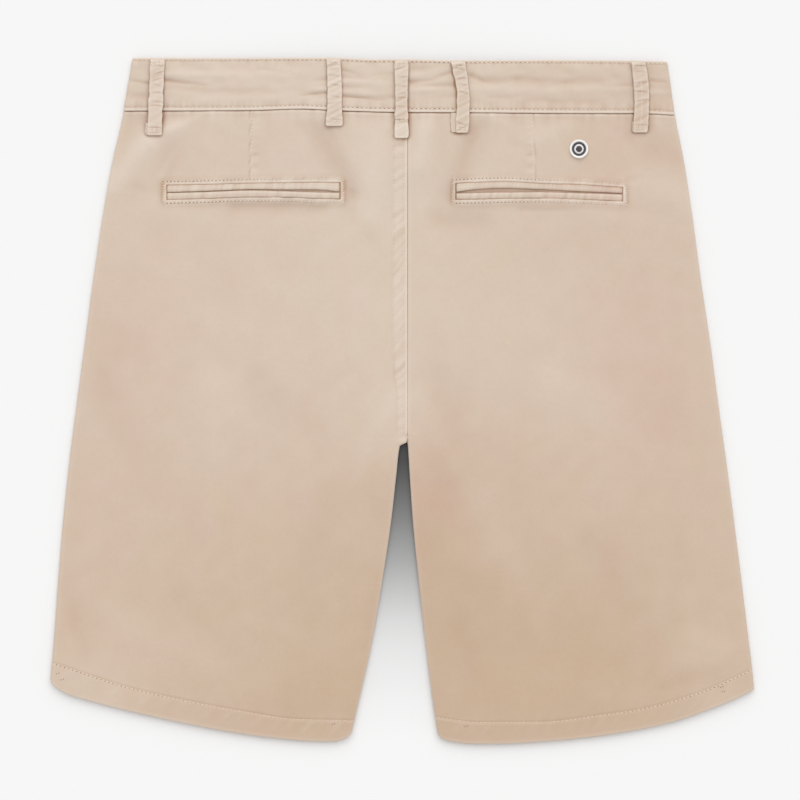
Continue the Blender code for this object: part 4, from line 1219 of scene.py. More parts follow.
# --- panels -------------------------------------------------------------------------------------
def straightened(side, places):
    """A back panel's columns made upright beside its pocket, whose ends are upright."""
    top, low = POCKETS[side][0].top, POCKETS[side][0].low
    across, down = places[..., 0], places[..., 1]
    level = np.abs(down[:, -40] - (top + low) / 2).argmin()
    near = past(down, (top - 22, top - 4)) * before(down, (low + 4, low + 22))
    outer_end = max(abs(POCKETS[side][0].across), abs(POCKETS[side][-1].across))
    beside = before(np.abs(across[level]), (outer_end + 4, outer_end + 16))
    moved = places.copy()
    moved[..., 0] = across + (across[level] - across) * near * beside
    moved[..., 2] += back_height(moved[..., 0], down, UP_THE_LEG)
    moved[..., 2] -= back_height(across, down, UP_THE_LEG)
    return moved


def make_panel(side, layer, cloth):
    """A whole panel with its relief, its hem folded and turned up inside."""
    columns = panel_columns(side, layer)
    lines = row_lines(side, layer, columns)
    down = rows_between(BACK_ROWS if layer == "back" else FRONT_ROWS, lines)
    body = panel_surface(side, layer, down, lines, columns)
    if layer == "back":
        body = straightened(side, body)
    if layer == "back" and side == "left":
        lap = SEAT_LAP * bump(body[..., 0], 2.0) * before(body[..., 1], SEAT_LAP_END)
        body[..., 0] += lap
    normal = outward(side, layer, columns)
    height, wear = panel_relief(side, layer, body, lines)
    upright = np.abs(normal[..., 2]) ** 2
    body = body + (cloth.relief * height * upright)[..., None] * normal

    turned = np.array([lines["hem"] - HEM_DEPTH * k / TURN_ROWS for k in range(TURN_ROWS + 1)])
    inside = panel_surface(side, layer, turned, lines, columns) - 2 * FOLD_RADIUS * normal
    hem = body[-1]
    along = unit(np.gradient(hem, axis=0))
    downward = np.cross(along, normal) * [1, 1, 0]
    downward = unit(downward * np.where(downward[:, 1:2] < 0, -1, 1))
    bend = []
    for k in range(1, HEM_STEPS + 1):
        angle = math.pi * k / (HEM_STEPS + 1)
        turn = normal * (math.cos(angle) - 1) + downward * math.sin(angle)
        bend.append(hem + FOLD_RADIUS * turn)
    places = np.concatenate([body, np.array(bend), inside])

    edge_wear = np.array([0.4] * HEM_STEPS + [0.0] * len(turned))
    wear = np.concatenate([wear, edge_wear[:, None] + np.zeros((1, wear.shape[1]))])
    facing = SIGN[side] if layer == "back" else -SIGN[side]
    cloth_piece(f"{layer}_{side}", places, cloth.panel_wall, facing, wear, cloth)


class SHORTS_OT_back_panels(Operator):
    """Both back panels, with their folds, darts, pocket windows and puckered hems"""
    bl_idname = "shorts.back_panels"
    bl_label = "Back Panels"

    def execute(self, context):
        for side in SIDE_NAMES:
            make_panel(side, "back", context.scene.shorts_cloth)
        return {"FINISHED"}


class SHORTS_OT_front_panels(Operator):
    """Both front panels, underneath, lapped along the closed fly"""
    bl_idname = "shorts.front_panels"
    bl_label = "Front Panels"

    def execute(self, context):
        for side in SIDE_NAMES:
            make_panel(side, "front", context.scene.shorts_cloth)
        return {"FINISHED"}


# --- waistband ----------------------------------------------------------------------------------
def band_down(side, layer, across, share):
    """Distance below the waist of a place a share of the way down the waistband."""
    top = waist_line(WAIST_TOP, side, layer, across)
    return top + share * (waist_line(WAIST_SEAM, side, layer, across) - top)


def waistband_line(side, share):
    """One line of the waistband, from the centre back round the side to the front closure."""
    sign = SIGN[side]
    reach = CLOSURE_LEFT if side == "left" else CLOSURE_RIGHT
    half = edge_at(SIDES, side, BAND_DEPTH * share) - BAND / 2
    level = band_down(side, "back", sign * half, share)
    low = band_front_height(side, sign * half, level)
    radius = (band_back_height(sign * half, level) - low) / 2
    seam = SEAM / 2 + np.array([0, 0.3])
    across = sign * np.concatenate(
        [seam, np.linspace(seam[-1], half - radius, BAND_BACK_COLUMNS - 1)[1:]]
    )
    down = band_down(side, "back", across, share)
    back = np.stack([across, down, band_back_height(across, down)], axis=-1)
    angle = np.pi * (0.5 - np.arange(1, BAND_TURN_COLUMNS + 1) / (BAND_TURN_COLUMNS + 1))
    turn = np.stack([
        sign * (half - radius + radius * np.cos(angle)), level + 0 * angle,
        low + radius + radius * np.sin(angle),
    ], axis=-1)
    end = -reach + np.array([0.3, 0])
    across = sign * np.concatenate(
        [np.linspace(half - radius, end[0], BAND_FRONT_COLUMNS - 1)[:-1], end]
    )
    down = band_down(side, "front", across, share)
    front = np.stack([across, down, band_front_height(side, across, down)], axis=-1)
    return np.concatenate([back, turn, front])


def make_waistband(side, cloth):
    """One half of the waistband. The left end laps over the right one at the front."""
    depth = WAIST_SEAM[3].down - WAIST_TOP[3].down
    field = np.linspace(BAND_TOP_ROWS[-1], depth - BAND_LOW_ROWS[0], BAND_FIELD_ROWS)[1:-1]
    gaps = np.concatenate([BAND_TOP_ROWS, field, depth - np.array(BAND_LOW_ROWS)])
    places = np.array([waistband_line(side, gap / depth) for gap in gaps])
    on_back = np.arange(places.shape[1]) < BAND_BACK_COLUMNS + BAND_TURN_COLUMNS // 2
    across, down = places[..., 0], places[..., 1]
    gap = gaps[:, None] + 0 * across
    height, wear = band_relief(across, down, gap, depth - gap, on_back[None, :])
    facing = -SIGN[side]
    grid = world(places)
    grid = grid + (facing * cloth.relief * height * MM)[..., None] * grid_normals(grid)
    cloth_piece(f"waistband_{side}", places, BAND * MM, facing, wear, cloth, grid)


class SHORTS_OT_waistband(Operator):
    """The two halves of the waistband, wrinkled along its length"""
    bl_idname = "shorts.waistband"
    bl_label = "Waistband"

    def execute(self, context):
        for side in SIDE_NAMES:
            make_waistband(side, context.scene.shorts_cloth)
        return {"FINISHED"}


# --- what lies on the cloth ---------------------------------------------------------------------
BACK_CLOTH = ("back_left_cloth", "back_right_cloth", "waistband_left_cloth", "waistband_right_cloth")
FRONT_CLOTH = tuple(name.replace("back_", "front_") for name in BACK_CLOTH)


def outer_face(names, layer):
    """A function for the height, in millimetres, of the cloth's outer face at a place."""
    trees = []
    for name in names:
        mesh = bpy.data.objects[name].data
        points = np.zeros(len(mesh.vertices) * 3)
        mesh.vertices.foreach_get("co", points)
        faces = corners_of(mesh).reshape(-1, 4).tolist()
        trees.append(BVHTree.FromPolygons(points.reshape(-1, 3).tolist(), faces))
    start, way = (100, -1) if layer == "back" else (-100, 1)

    def face(across, down):
        x, y, z = world((across, down, start))
        hits = [tree.ray_cast((x, y, z), (0, 0, way))[0] for tree in trees]
        heights = [hit.z / MM for hit in hits if hit]
        if not heights:
            raise RuntimeError(f"no cloth at {across:.1f}, {down:.1f} mm")
        return max(heights) if layer == "back" else min(heights)

    face.away = -way
    return face


def make_lip(side, edge, cloth):
    """One rounded welt of a pocket, in the panel's window."""
    rows = POCKETS[side]
    columns, steps = 96, 13
    inset, roll = 0.25, 0.55
    ends = rows[0].across + inset, rows[-1].across - inset
    across = np.concatenate([
        [ends[0], ends[0] + 0.25], np.linspace(ends[0] + 0.7, ends[1] - 0.7, columns),
        [ends[1] - 0.25, ends[1]],
    ])
    top, slit, low, gap = (pocket_at(side, name, across) for name in ("top", "slit", "low", "gap"))
    if edge == "upper":
        first, last = top + inset, slit - gap / 2
    else:
        first, last = slit + gap / 2, low - inset
    share = (1 - np.cos(np.linspace(0, np.pi, steps))) / 2
    down = first + share[:, None] * (last - first)
    flat_across = across + 0 * down
    beside = np.minimum(across - ends[0], ends[1] - across)
    rounded = 1 - roll * np.abs(2 * share[:, None] - 1) ** 4 - roll * bump(beside, 0.8)
    lift = back_height(flat_across, down, UP_THE_LEG) + CLOTH / 2 + SEAM + LIP / 2
    seed = {"left": 81, "right": 82}[side] + (edge == "lower") * 2
    soft = 0.12 * puckers(across + 0.4 * down, seed, 9, 26)
    flecks = puckers(across + 0.3 * down, seed + 7, 2.6, 8.0)
    places = np.stack([flat_across, down, lift - (1 - rounded) + soft + 0.05 * flecks], axis=-1)
    inward = np.minimum(down - first, last - down)
    wear = 0.3 * bump(share - (0.2 if edge == "lower" else 0.5), 0.22)[:, None]
    wear = wear - 0.8 * bump(inward, 0.35) - 0.8 * bump(beside, 0.55) + 0.12 * flecks
    cloth_piece(f"welt_{side}_{edge}", places, LIP * MM * 0.85, -1, wear, cloth)


class SHORTS_OT_welts(Operator):
    """The two rounded welts of each back pocket"""
    bl_idname = "shorts.welts"
    bl_label = "Pocket Welts"

    def execute(self, context):
        for side in SIDE_NAMES:
            for edge in ("upper", "lower"):
                make_lip(side, edge, context.scene.shorts_cloth)
        return {"FINISHED"}


def strap_path(row, layer, face):
    """Middle line of a loop, (down, height), from one turned end to the other."""
    first, last = row.top + STRAP_FOLD + STRAP_WALL / 2, row.low - STRAP_FOLD - STRAP_WALL / 2
    seat = STRAP_SEAT
    half = np.linspace(-0.5, 0.5, 5) * LOOP_WIDTH
    steps = np.linspace(-STRAP_FOLD, LOOP_TURN, 5)
    if layer == "back":
        bed_top = max(face(row.top_across + h, first + s) for h in half for s in steps) + seat
        bed_low = max(face(row.low_across + h, last - s) for h in half for s in steps) + seat
        away, arch = 1, LOOP_ARCH
    else:
        bed_top = bed_low = FRONT_LIFT - seat - 0.35
        away, arch = -1, 0
    share = np.concatenate([[0, 0.008, 0.02], np.linspace(0.035, 0.965, 64), [0.98, 0.992, 1]])
    rise = away * (2 * STRAP_FOLD + arch * np.sin(np.pi * share))
    run = zip(first + share * (last - first), bed_top + share * (bed_low - bed_top) + rise)
    angles = [math.pi * k / 8 for k in range(1, 8)]
    path = [(first + LOOP_TURN * k, bed_top) for k in (1, 0.97, 0.75, 0.5, 0.25, 0)]
    path += [(first - STRAP_FOLD * math.sin(a), bed_top + away * STRAP_FOLD * (1 - math.cos(a)))
             for a in angles]
    path += list(run)
    path += [(last + STRAP_FOLD * math.sin(a), bed_low + away * STRAP_FOLD * (1 + math.cos(a)))
             for a in angles]
    return path + [(last - row.turn * k, bed_low) for k in (0, 0.25, 0.5, 0.75, 0.97, 1)]


def make_loop(row, layer, face, cloth):
    """A belt loop: a strap with rolled edges and pressed creases, its ends turned under."""
    path = np.array(strap_path(row, layer, face))
    share = np.array([-1, -0.96, -0.88, -0.76, -0.55, -0.28, 0, 0.28, 0.55, 0.76, 0.88, 0.96, 1])
    down = path[:, :1] + 0 * share
    on_top = np.zeros((len(path), 1))
    on_top[13:-13] = 1
    flare = row.flare * past(down, (row.low - 14, row.low - 4))
    seed = int(row.low * 10)
    uneven = 0.3 * puckers(down, seed, 9, 24) + 0.3 * puckers(down + 40 * share, seed + 1, 4, 8)
    slim = row.slim * np.sin(np.pi * np.clip((down - row.top) / (row.low - row.top), 0, 1))
    corner = np.clip((row.low - down) / STRAP_CORNER, 0, 1)
    rounded = STRAP_CORNER * (1 - np.sqrt(1 - (1 - corner) ** 2)) + 0.35 * bump(down - row.top, 0.7)
    half = (STRAP_WIDTH + flare + slim + uneven) / 2 - rounded
    across = loop_centre(row, path[:, :1]) + share * half
    across[-6:] += row.peek
    away = 1 if layer == "back" else -1
    edge = np.abs(share)
    draw = np.random.default_rng(seed + 3)
    creases = glints = 0.0
    for at in row.creases:
        tilt, centre = draw.uniform(-0.35, 0.35), draw.uniform(-0.6, 0.6)
        reach, depth = draw.uniform(0.7, 1.6), draw.uniform(0.7, 1.2)
        off = down - at + tilt * share * half - 0.6 * (share - centre) ** 2
        creases = creases + depth * bump(share - centre, reach) * bump(off, 0.7)
        glints = glints + depth * bump(share - centre, reach) * bump(off + 1.3, 0.8)
    flecks = puckers(down + 0.5 * across, seed + 2, 3.0, 9.0)
    ends = bump(down - row.low + 0.9, 0.9) + bump(down - row.top - 0.9, 0.9)
    rolled = 0.16 * bump(edge - 0.82, 0.14) - 0.25 * past(edge, (0.9, 1.0))
    lift = on_top * (rolled + 0.15 * flecks - 0.45 * creases + 0.25 * glints)
    places = np.stack([across, down, path[:, 1:] + away * lift], axis=-1)
    wear = 0.42 * bump(edge - 0.86, 0.1) + 0.4 * ends - 0.3 * past(edge, (0.95, 1.0)) + 0.14 * flecks
    joint = bump(down - row.low + row.tack + 1.2, 1.2) * (row.tack > 10)
    depth, faded = (0.6, 0.08) if row.low_across < 0 else (0.85, 0.0)
    wear = faded + on_top * (wear - 0.45 * creases + 0.25 * glints - 0.5 * joint)
    if row.tack > 10:
        wear = wear + 0.35 * on_top * past(down - row.low + row.tack, (1, 2))
    cloth_piece(row.name, places, STRAP_WALL * MM, -away, wear, cloth, depth=depth)


class SHORTS_OT_belt_loops(Operator):
    """The five belt loops of the back and the two of the front"""
    bl_idname = "shorts.belt_loops"
    bl_label = "Belt Loops"

    def execute(self, context):
        cloth = context.scene.shorts_cloth
        face = outer_face(BACK_CLOTH, "back")
        for row in BACK_LOOPS:
            make_loop(row, "back", face, cloth)
        for row in FRONT_LOOPS:
            make_loop(row, "front", None, cloth)
        return {"FINISHED"}


# --- sewing -------------------------------------------------------------------------------------
FULL_LENGTH = 100.0             # past the end of every line, in metres
WOBBLE = 0.09                   # how far a thread turns off its line, in radians, at random
FRONT_SINK = 0.22               # how deep the hidden front's sewing is pressed in, off the surface
Line = namedtuple("Line", "places away")


def stitch_tree():
    """Geometry Nodes: a short rounded thread at every pitch along each line."""
    known = bpy.data.node_groups.get("thread_row")
    if known:
        return known
    tree = bpy.data.node_groups.new("thread_row", "GeometryNodeTree")
    tree.is_modifier = True
    for way, kind, names in (
        ("INPUT", "Geometry", ("Geometry",)),
        ("INPUT", "Float", ("Pitch", "Start", "Length", "Width", "Height", "Turn", "Zigzag")),
        ("INPUT", "Int", ("Seed",)), ("INPUT", "Material", ("Material",)),
        ("OUTPUT", "Geometry", ("Geometry",)),
    ):
        for name in names:
            tree.interface.new_socket(name, in_out=way, socket_type="NodeSocket" + kind)
    add = node_maker(tree)
    given = add("NodeGroupInput").outputs

    line = add("GeometryNodeMeshToCurve", "line", {"Mesh": given["Geometry"]}).outputs["Curve"]
    trim = add("GeometryNodeTrimCurve", "first stitch", {"Curve": line}, mode="LENGTH")
    starts, ends = ([s for s in trim.inputs if s.name == name] for name in ("Start", "End"))
    feed(starts[1], given["Start"])
    ends[1].default_value = FULL_LENGTH
    points = add("GeometryNodeCurveToPoints", "stitches",
                 {"Curve": trim.outputs["Curve"], "Length": given["Pitch"]}, mode="LENGTH").outputs
    align = add("FunctionNodeAlignRotationToVector", "along the line",
                {"Vector": points["Tangent"]}, axis="X")

    index = add("GeometryNodeInputIndex").outputs[0]
    swing = maths(add, "every other one", "MODULO", index, 2.0)
    swing = maths(add, "to and fro", "SUBTRACT", maths(add, "", "MULTIPLY", swing, 2.0), 1.0)
    jitter = add("FunctionNodeRandomValue", "wobble", {"Seed": given["Seed"]}, data_type="FLOAT")
    low, high = (s for s in jitter.inputs if s.name in ("Min", "Max") and s.type == "VALUE")
    low.default_value, high.default_value = -WOBBLE, WOBBLE
    wobble = next(s for s in jitter.outputs if s.type == "VALUE")
    swing = maths(add, "zigzag", "MULTIPLY", given["Zigzag"], swing)
    angle = maths(add, "turn", "ADD", given["Turn"], swing)
    angle = maths(add, "turn with wobble", "ADD", angle, wobble)
    spin = add("FunctionNodeAxisAngleToRotation", "spin", {"Axis": (0, 0, 1), "Angle": angle})
    rotate = add("FunctionNodeRotateRotation", "turned", {
        "Rotation": align.outputs["Rotation"], "Rotate By": spin.outputs["Rotation"],
    }, rotation_space="LOCAL")

    thread = add("GeometryNodeMeshUVSphere", "thread", {"Segments": 6, "Rings": 5, "Radius": 0.5})
    thread = add("GeometryNodeTransform", "lengthwise", {
        "Rotation": (0, math.pi / 2, 0), "Geometry": thread.outputs["Mesh"],
    })
    smooth = add("GeometryNodeSetShadeSmooth", "smooth", {"Geometry": thread.outputs["Geometry"]})
    uneven = maths(add, "uneven", "MULTIPLY_ADD", wobble, 1.2, 1.0)
    size = add("ShaderNodeCombineXYZ", "size", {
        "X": maths(add, "length", "MULTIPLY", given["Length"], uneven),
        "Y": given["Width"], "Z": given["Height"],
    })
    threads = add("GeometryNodeInstanceOnPoints", "threads", {
        "Points": points["Points"], "Instance": smooth.outputs["Geometry"],
        "Rotation": rotate.outputs["Rotation"], "Scale": size.outputs[0],
    })
    real = add("GeometryNodeRealizeInstances", "real", {"Geometry": threads.outputs["Instances"]})
    coat = {"Geometry": real.outputs["Geometry"], "Material": given["Material"]}
    coated = add("GeometryNodeSetMaterial", "coated", coat).outputs["Geometry"]
    add("NodeGroupOutput", "made", {"Geometry": coated})
    return tree


def sew(name, lines, coat, proud, **sizes):
    """Threads along lines on the cloth, proud of it, as one mesh that rides on the garment."""
    sizes = {"Start": 0.0, "Turn": 0.0, "Zigzag": 0.0, **sizes}
    points, edges = [], []
    for line in lines:
        first = len(points)
        lift = proud * line.away * np.array([0, 0, 1])
        points += world(np.array(line.places) + lift).tolist()
        edges += [(k, k + 1) for k in range(first, len(points) - 1)]
    guide = bpy.data.meshes.new(name + "_guide")
    guide.from_pydata(points, edges, [])
    host = new_object(name + "_guide", guide, [])
    rows = host.modifiers.new("threads", "NODES")
    tree = stitch_tree()
    rows.node_group = tree
    sockets = {s.name: s.identifier for s in tree.interface.items_tree if s.in_out == "INPUT"}
    for label, value in sizes.items():
        rows[sockets[label]] = value
    rows[sockets["Material"]] = coat
    bpy.context.view_layer.update()
    graph = bpy.context.evaluated_depsgraph_get()
    mesh = bpy.data.meshes.new_from_object(host.evaluated_get(graph))
    bpy.data.objects.remove(host)
    if not len(mesh.polygons):
        raise RuntimeError(f"{name} made no threads")
    mesh.name = name
    settle(new_object(name, mesh, []), "sand_twill")


def on_cloth(face, acrosses, downs):
    """A line of places on the outer face of the cloth."""
    sink = FRONT_SINK if face.away < 0 else 0
    return Line([(a, d, face(a, d) + sink) for a, d in zip(acrosses, downs)], face.away)


def spaced(values, step):
    """Values spread between the first and last of a line, about a step apart."""
    return np.linspace(values[0], values[-1], max(2, int(abs(values[-1] - values[0]) / step)))


def waist_lines(layer, face):
    """Stitch lines below the top edge and above the waist seam of both waistband halves."""
    for side in SIDE_NAMES:
        inner = SEAM if layer == "back" else (-CLOSURE_LEFT + 1 if side == "left" else CLOSURE_LEFT)
        across = SIGN[side] * spaced((inner, waist_half(side) - 4), 2.0)
        top, low = (waist_line(points, side, layer, across) for points in (WAIST_TOP, WAIST_SEAM))
        for down in (top + TOP_STITCH, low - SEAM_STITCH):
            yield on_cloth(face, across, down)


def hem_lines(face):
    """The stitch line of each hem."""
    for side in SIDE_NAMES:
        across = spaced([HEM_STITCH[side][0].across - 3, HEM_STITCH[side][-1].across + 3], 1.5)
        down = line_at(HEM_STITCH[side], across) + 0.2
        yield on_cloth(face, SIGN[side] * across, down)


def pocket_lines(face):
    """The stitched frame round each pocket's window: its long sides, then its tacked ends."""
    lines, tacks = [], []
    for side in SIDE_NAMES:
        first, last = POCKETS[side][0].across - POCKET_STITCH, POCKETS[side][-1].across + POCKET_STITCH
        across = spaced((first, last), 1.5)
        upper = pocket_at(side, "top", across) - POCKET_STITCH
        lower = pocket_at(side, "low", across) + POCKET_STITCH
        lines += [on_cloth(face, across, upper), on_cloth(face, across, lower)]
        for end, k in ((first, 0), (last, -1)):
            down = spaced((upper[k], lower[k]), 1.0)
            tacks.append(on_cloth(face, end + 0 * down, down))
    return lines, tacks


def dart_lines(face):
    for dart in DARTS.values():
        down = spaced((dart.down + 2, dart.to_down - 0.5), 1.5)
        across = np.interp(down, (dart.down, dart.to_down), (dart.across, dart.to_across))
        yield on_cloth(face, across + dart.stitch, down)


def seat_lines(face):
    for row in SEAT_ROWS:
        down = spaced((row[0].down, row[-1].down), 1.5)
        yield on_cloth(face, across_at(row, down), down)


def fly_lines(face):
    """The fly's two rows on the hidden left front, curving in to the centre at their foot."""
    for off in FLY_ROWS:
        down = list(spaced((60, FLY_LENGTH - off), 1.5))
        across = [-off] * len(down)
        for angle in np.linspace(0, np.pi / 2, 22)[1:]:
            across.append(-off * math.cos(angle) - 1.0)
            down.append(FLY_LENGTH - off + off * math.sin(angle))
        yield on_cloth(face, across, down)


STRAY_STITCHES = table_of(      # single needle marks beside the hems' stitch lines
    Point, (-272.5, 479.2), (-269.0, 483.9), (-57.9, 518.7), (45.5, 520.3), (244.2, 489.8),
    (245.6, 493.3),
)


def stray_lines(face):
    for p in STRAY_STITCHES:
        yield on_cloth(face, (p.across - 0.4, p.across + 1.4), (p.down, p.down - 0.5))


def sewing_finishes(sewing):
    """The thread, and the shade in its needle holes."""
    return (
        finish("sewing_thread", thread_finish, sewing.colour, 0.8),
        finish("needle_hole", thread_finish, sewing.hole_colour, 0.95),
    )


class SHORTS_OT_topstitch(Operator):
    """Topstitching of the waistband, pockets, darts, seat seam, fly and hems"""
    bl_idname = "shorts.topstitch"
    bl_label = "Topstitching"

    def execute(self, context):
        sewing = context.scene.shorts_sewing
        thread, hole = sewing_finishes(sewing)
        back, front = outer_face(BACK_CLOTH, "back"), outer_face(FRONT_CLOTH, "front")
        waist = [*waist_lines("back", back), *waist_lines("front", front)]
        seams = [*dart_lines(back), *fly_lines(front)]
        hems = [*hem_lines(back), *hem_lines(front)]
        pockets, tacks = pocket_lines(back)
        groups = (              # name, lines, pitch, shares of the thread and the hole, zigzag
            ("waist", waist, sewing.waist_pitch, 0.9, 1.12, 0.0),
            ("pockets", pockets, sewing.seam_pitch, 0.95, 1.12, 0.15),
            ("pocket_ends", tacks, 1.9 * MM, 1.0, 1.0, 0.7),
            ("seams", seams, sewing.seam_pitch, 0.6, 0.5, 0.0),
            ("seat", [*seat_lines(back)], sewing.seam_pitch, 0.5, 0.34, 0.0),
            ("hems", hems, sewing.hem_pitch, 1.0, 1.02, 0.1),
            ("strays", [*stray_lines(back)], 1.4 * MM, 0.6, 0.95, 0.0),
        )
        for name, lines, pitch, thickness, share, zigzag in groups:
            size, thick = sewing.hole * share, sewing.thread * thickness
            sew(
                f"stitches_{name}", lines, thread, 0.18 * thickness, Pitch=pitch, Start=pitch / 2,
                Length=pitch * (0.66 + 0.4 * zigzag), Width=thick, Height=thick * 0.8,
                Zigzag=zigzag, Seed=sewing.seed,
            )
            sew(
                f"needle_holes_{name}", lines, hole, 0.04, Pitch=pitch, Length=size * 1.1,
                Width=size * 0.8, Height=size * 0.2, Turn=0.3, Seed=sewing.seed + 1,
            )
        return {"FINISHED"}


COVER_STITCHED = "loop_back_5"  # the loop whose cover stitch lies on top


def loop_bars(row, face):
    """The lines along which the bartacks across a loop are sewn."""
    bars = []
    for down in (row.top + 2.4, row.top + 4.2, row.low - row.tack, row.low - row.tack - 1.8):
        across = loop_centre(row, down) + np.linspace(-4.6, 4.6, 9)
        bars.append(on_cloth(face, across, down + 0 * across))
    return bars


class SHORTS_OT_bartacks(Operator):
    """Bartacks across the ends of the belt loops, and the cover stitch down one of them"""
    bl_idname = "shorts.bartacks"
    bl_label = "Bartacks"

    def execute(self, context):
        sewing = context.scene.shorts_sewing
        thread, hole = sewing_finishes(sewing)
        bars, covers = [], []
        for row in BACK_LOOPS:
            face = outer_face([f"{row.name}_cloth"], "back")
            bars += loop_bars(row, face)
            if row.name == COVER_STITCHED:
                down = np.linspace(row.top + 16, row.low - 6, 40)
                covers.append(on_cloth(face, loop_centre(row, down), down))
        for row in FRONT_LOOPS:
            bars += loop_bars(row, outer_face([f"{row.name}_cloth"], "front"))
        sew(
            "bartacks", bars, thread, 0.05, Pitch=sewing.bar_pitch, Length=1.7 * MM,
            Width=sewing.thread * 0.8, Height=sewing.thread * 0.8, Turn=math.pi / 2,
            Zigzag=0.35, Seed=sewing.seed + 2,
        )
        sew(
            "bartack_holes", bars, hole, -0.02, Pitch=sewing.bar_pitch * 3,
            Length=sewing.hole * 0.8, Width=sewing.hole * 0.7, Height=sewing.hole * 0.3,
            Seed=sewing.seed + 3,
        )
        sew(
            "loop_cover_stitch", covers, thread, 0.0, Pitch=1.9 * MM, Length=2.1 * MM,
            Width=sewing.thread * 0.7, Height=sewing.thread * 0.6, Zigzag=0.6,
            Seed=sewing.seed + 4,
        )
        return {"FINISHED"}


# --- trims --------------------------------------------------------------------------------------
BADGE_SIDES = 64
Ring = namedtuple("Ring", "radius height part")
# from the middle of the dome out over the rim and back under; part: 0 rim, 1 dark, 2 pale
BADGE_RINGS = table_of(
    Ring, (0, 1.95, 1), (1.2, 1.94, 1), (2.1, 1.86, 1), (2.45, 1.7, 1), (2.6, 1.6, 2),
    (3.1, 1.38, 2), (3.5, 1.15, 2), (3.7, 0.98, 2), (3.85, 0.93, 1), (5.5, 0.93, 1), (5.65, 1.0, 0),
    (5.8, 1.6, 0), (6.2, 1.95, 0), (6.55, 2.15, 0), (6.9, 2.05, 0), (7.2, 1.7, 0), (7.4, 1.1, 0),
    (7.35, 0.4, 0), (7.1, 0.05, 0), (6.8, 0, 0), (0, 0, 0),
)


class SHORTS_OT_badge(Operator):
    """The round badge above the right back pocket: a plain dark dome in three rings"""
    bl_idname = "shorts.badge"
    bl_label = "Badge"

    def execute(self, context):
        trims = context.scene.shorts_trims
        face = outer_face(BACK_CLOTH[:2], "back")
        turns = np.linspace(0, 2 * math.pi, 24)
        bed = max(face(BADGE_AT.across + BADGE_RADIUS * math.cos(a),
                       BADGE_AT.down + BADGE_RADIUS * math.sin(a)) for a in turns)
        sides = BADGE_SIDES
        points = [(BADGE_AT.across, BADGE_AT.down, bed + BADGE_RINGS[0].height)]
        for ring in BADGE_RINGS[1:-1]:
            points += [
                (BADGE_AT.across + ring.radius * math.cos(2 * math.pi * k / sides),
                 BADGE_AT.down - ring.radius * math.sin(2 * math.pi * k / sides),
                 bed + ring.height) for k in range(sides)
            ]
        points.append((BADGE_AT.across, BADGE_AT.down, bed + BADGE_RINGS[-1].height))
        faces, parts = [], []
        for k in range(sides):
            faces.append((0, 1 + k, 1 + (k + 1) % sides))
            parts.append(BADGE_RINGS[0].part)
        for ring in range(len(BADGE_RINGS) - 3):
            start, below = 1 + ring * sides, 1 + (ring + 1) * sides
            for k in range(sides):
                after = (k + 1) % sides
                faces.append((start + k, below + k, below + after, start + after))
                parts.append(BADGE_RINGS[ring + 2].part)
        start = 1 + (len(BADGE_RINGS) - 3) * sides
        for k in range(sides):
            faces.append((start + (k + 1) % sides, start + k, len(points) - 1))
            parts.append(0)
        mesh = bpy.data.meshes.new("badge_metal_and_enamel")
        mesh.from_pydata(world(points).tolist(), [], faces)
        mesh.polygons.foreach_set("material_index", parts)
        mesh.shade_smooth()
        mesh.set_sharp_from_angle(angle=math.radians(50))
        made = new_object("badge_metal_and_enamel", mesh, [
            hard_finish("lacquered_rim", trims.metal, 0.3, 1.5, 0.04),
            hard_finish("dark_enamel", trims.enamel, 0.35, 1.0, 0.2),
            hard_finish("pale_enamel", trims.ring, 0.3, 1.2, 0.06),
        ])
        settle(made, "badge_metal", "badge")
        return {"FINISHED"}


class SHORTS_OT_waist_button(Operator):
    """Horn-effect finish of the waist button, which is closed on the hidden front"""
    bl_idname = "shorts.waist_button"
    bl_label = "Waist Button"

    def execute(self, context):
        button = frame["nodes"]["waist_button"]
        horn = hard_finish("horn_effect", context.scene.shorts_trims.horn, 0.4, 5.0, 0.5)
        button.data.materials.clear()
        button.data.materials.append(horn)
        return {"FINISHED"}


# --- cuts ---------------------------------------------------------------------------------------
Sheet = namedtuple("Sheet", "piece rests_on with_pieces")
SHEETS = (
    Sheet("front_left_cloth", ("floor",), ()),
    Sheet("front_right_cloth", ("floor",), ()),
    Sheet("back_left_cloth", ("front_left_cloth",),
          ("welt_left_upper_cloth", "welt_left_lower_cloth")),
    Sheet("back_right_cloth", ("front_right_cloth",),
          ("welt_right_upper_cloth", "welt_right_lower_cloth")),
    Sheet("waistband_left_cloth", ("floor",), ()),
    Sheet("waistband_right_cloth", ("floor",), ()),
    *(Sheet(f"{row.name}_cloth", (f"waistband_{'left' if row.top_across < 0 else 'right'}_cloth",),
            ()) for row in BACK_LOOPS + FRONT_LOOPS),
)


class SHORTS_OT_cuts(Operator):
    """The flat size to which each cloth piece is cut"""
    bl_idname = "shorts.cuts"
    bl_label = "Cuts"

    def execute(self, context):
        for row in SHEETS:
            width, length, area = CUTS[row.piece]
            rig.sheet(
                bpy.data.objects[row.piece], flat=(width, length), area=area, held="laid",
                rests_on=row.rests_on, with_pieces=row.with_pieces,
            )
        return {"FINISHED"}


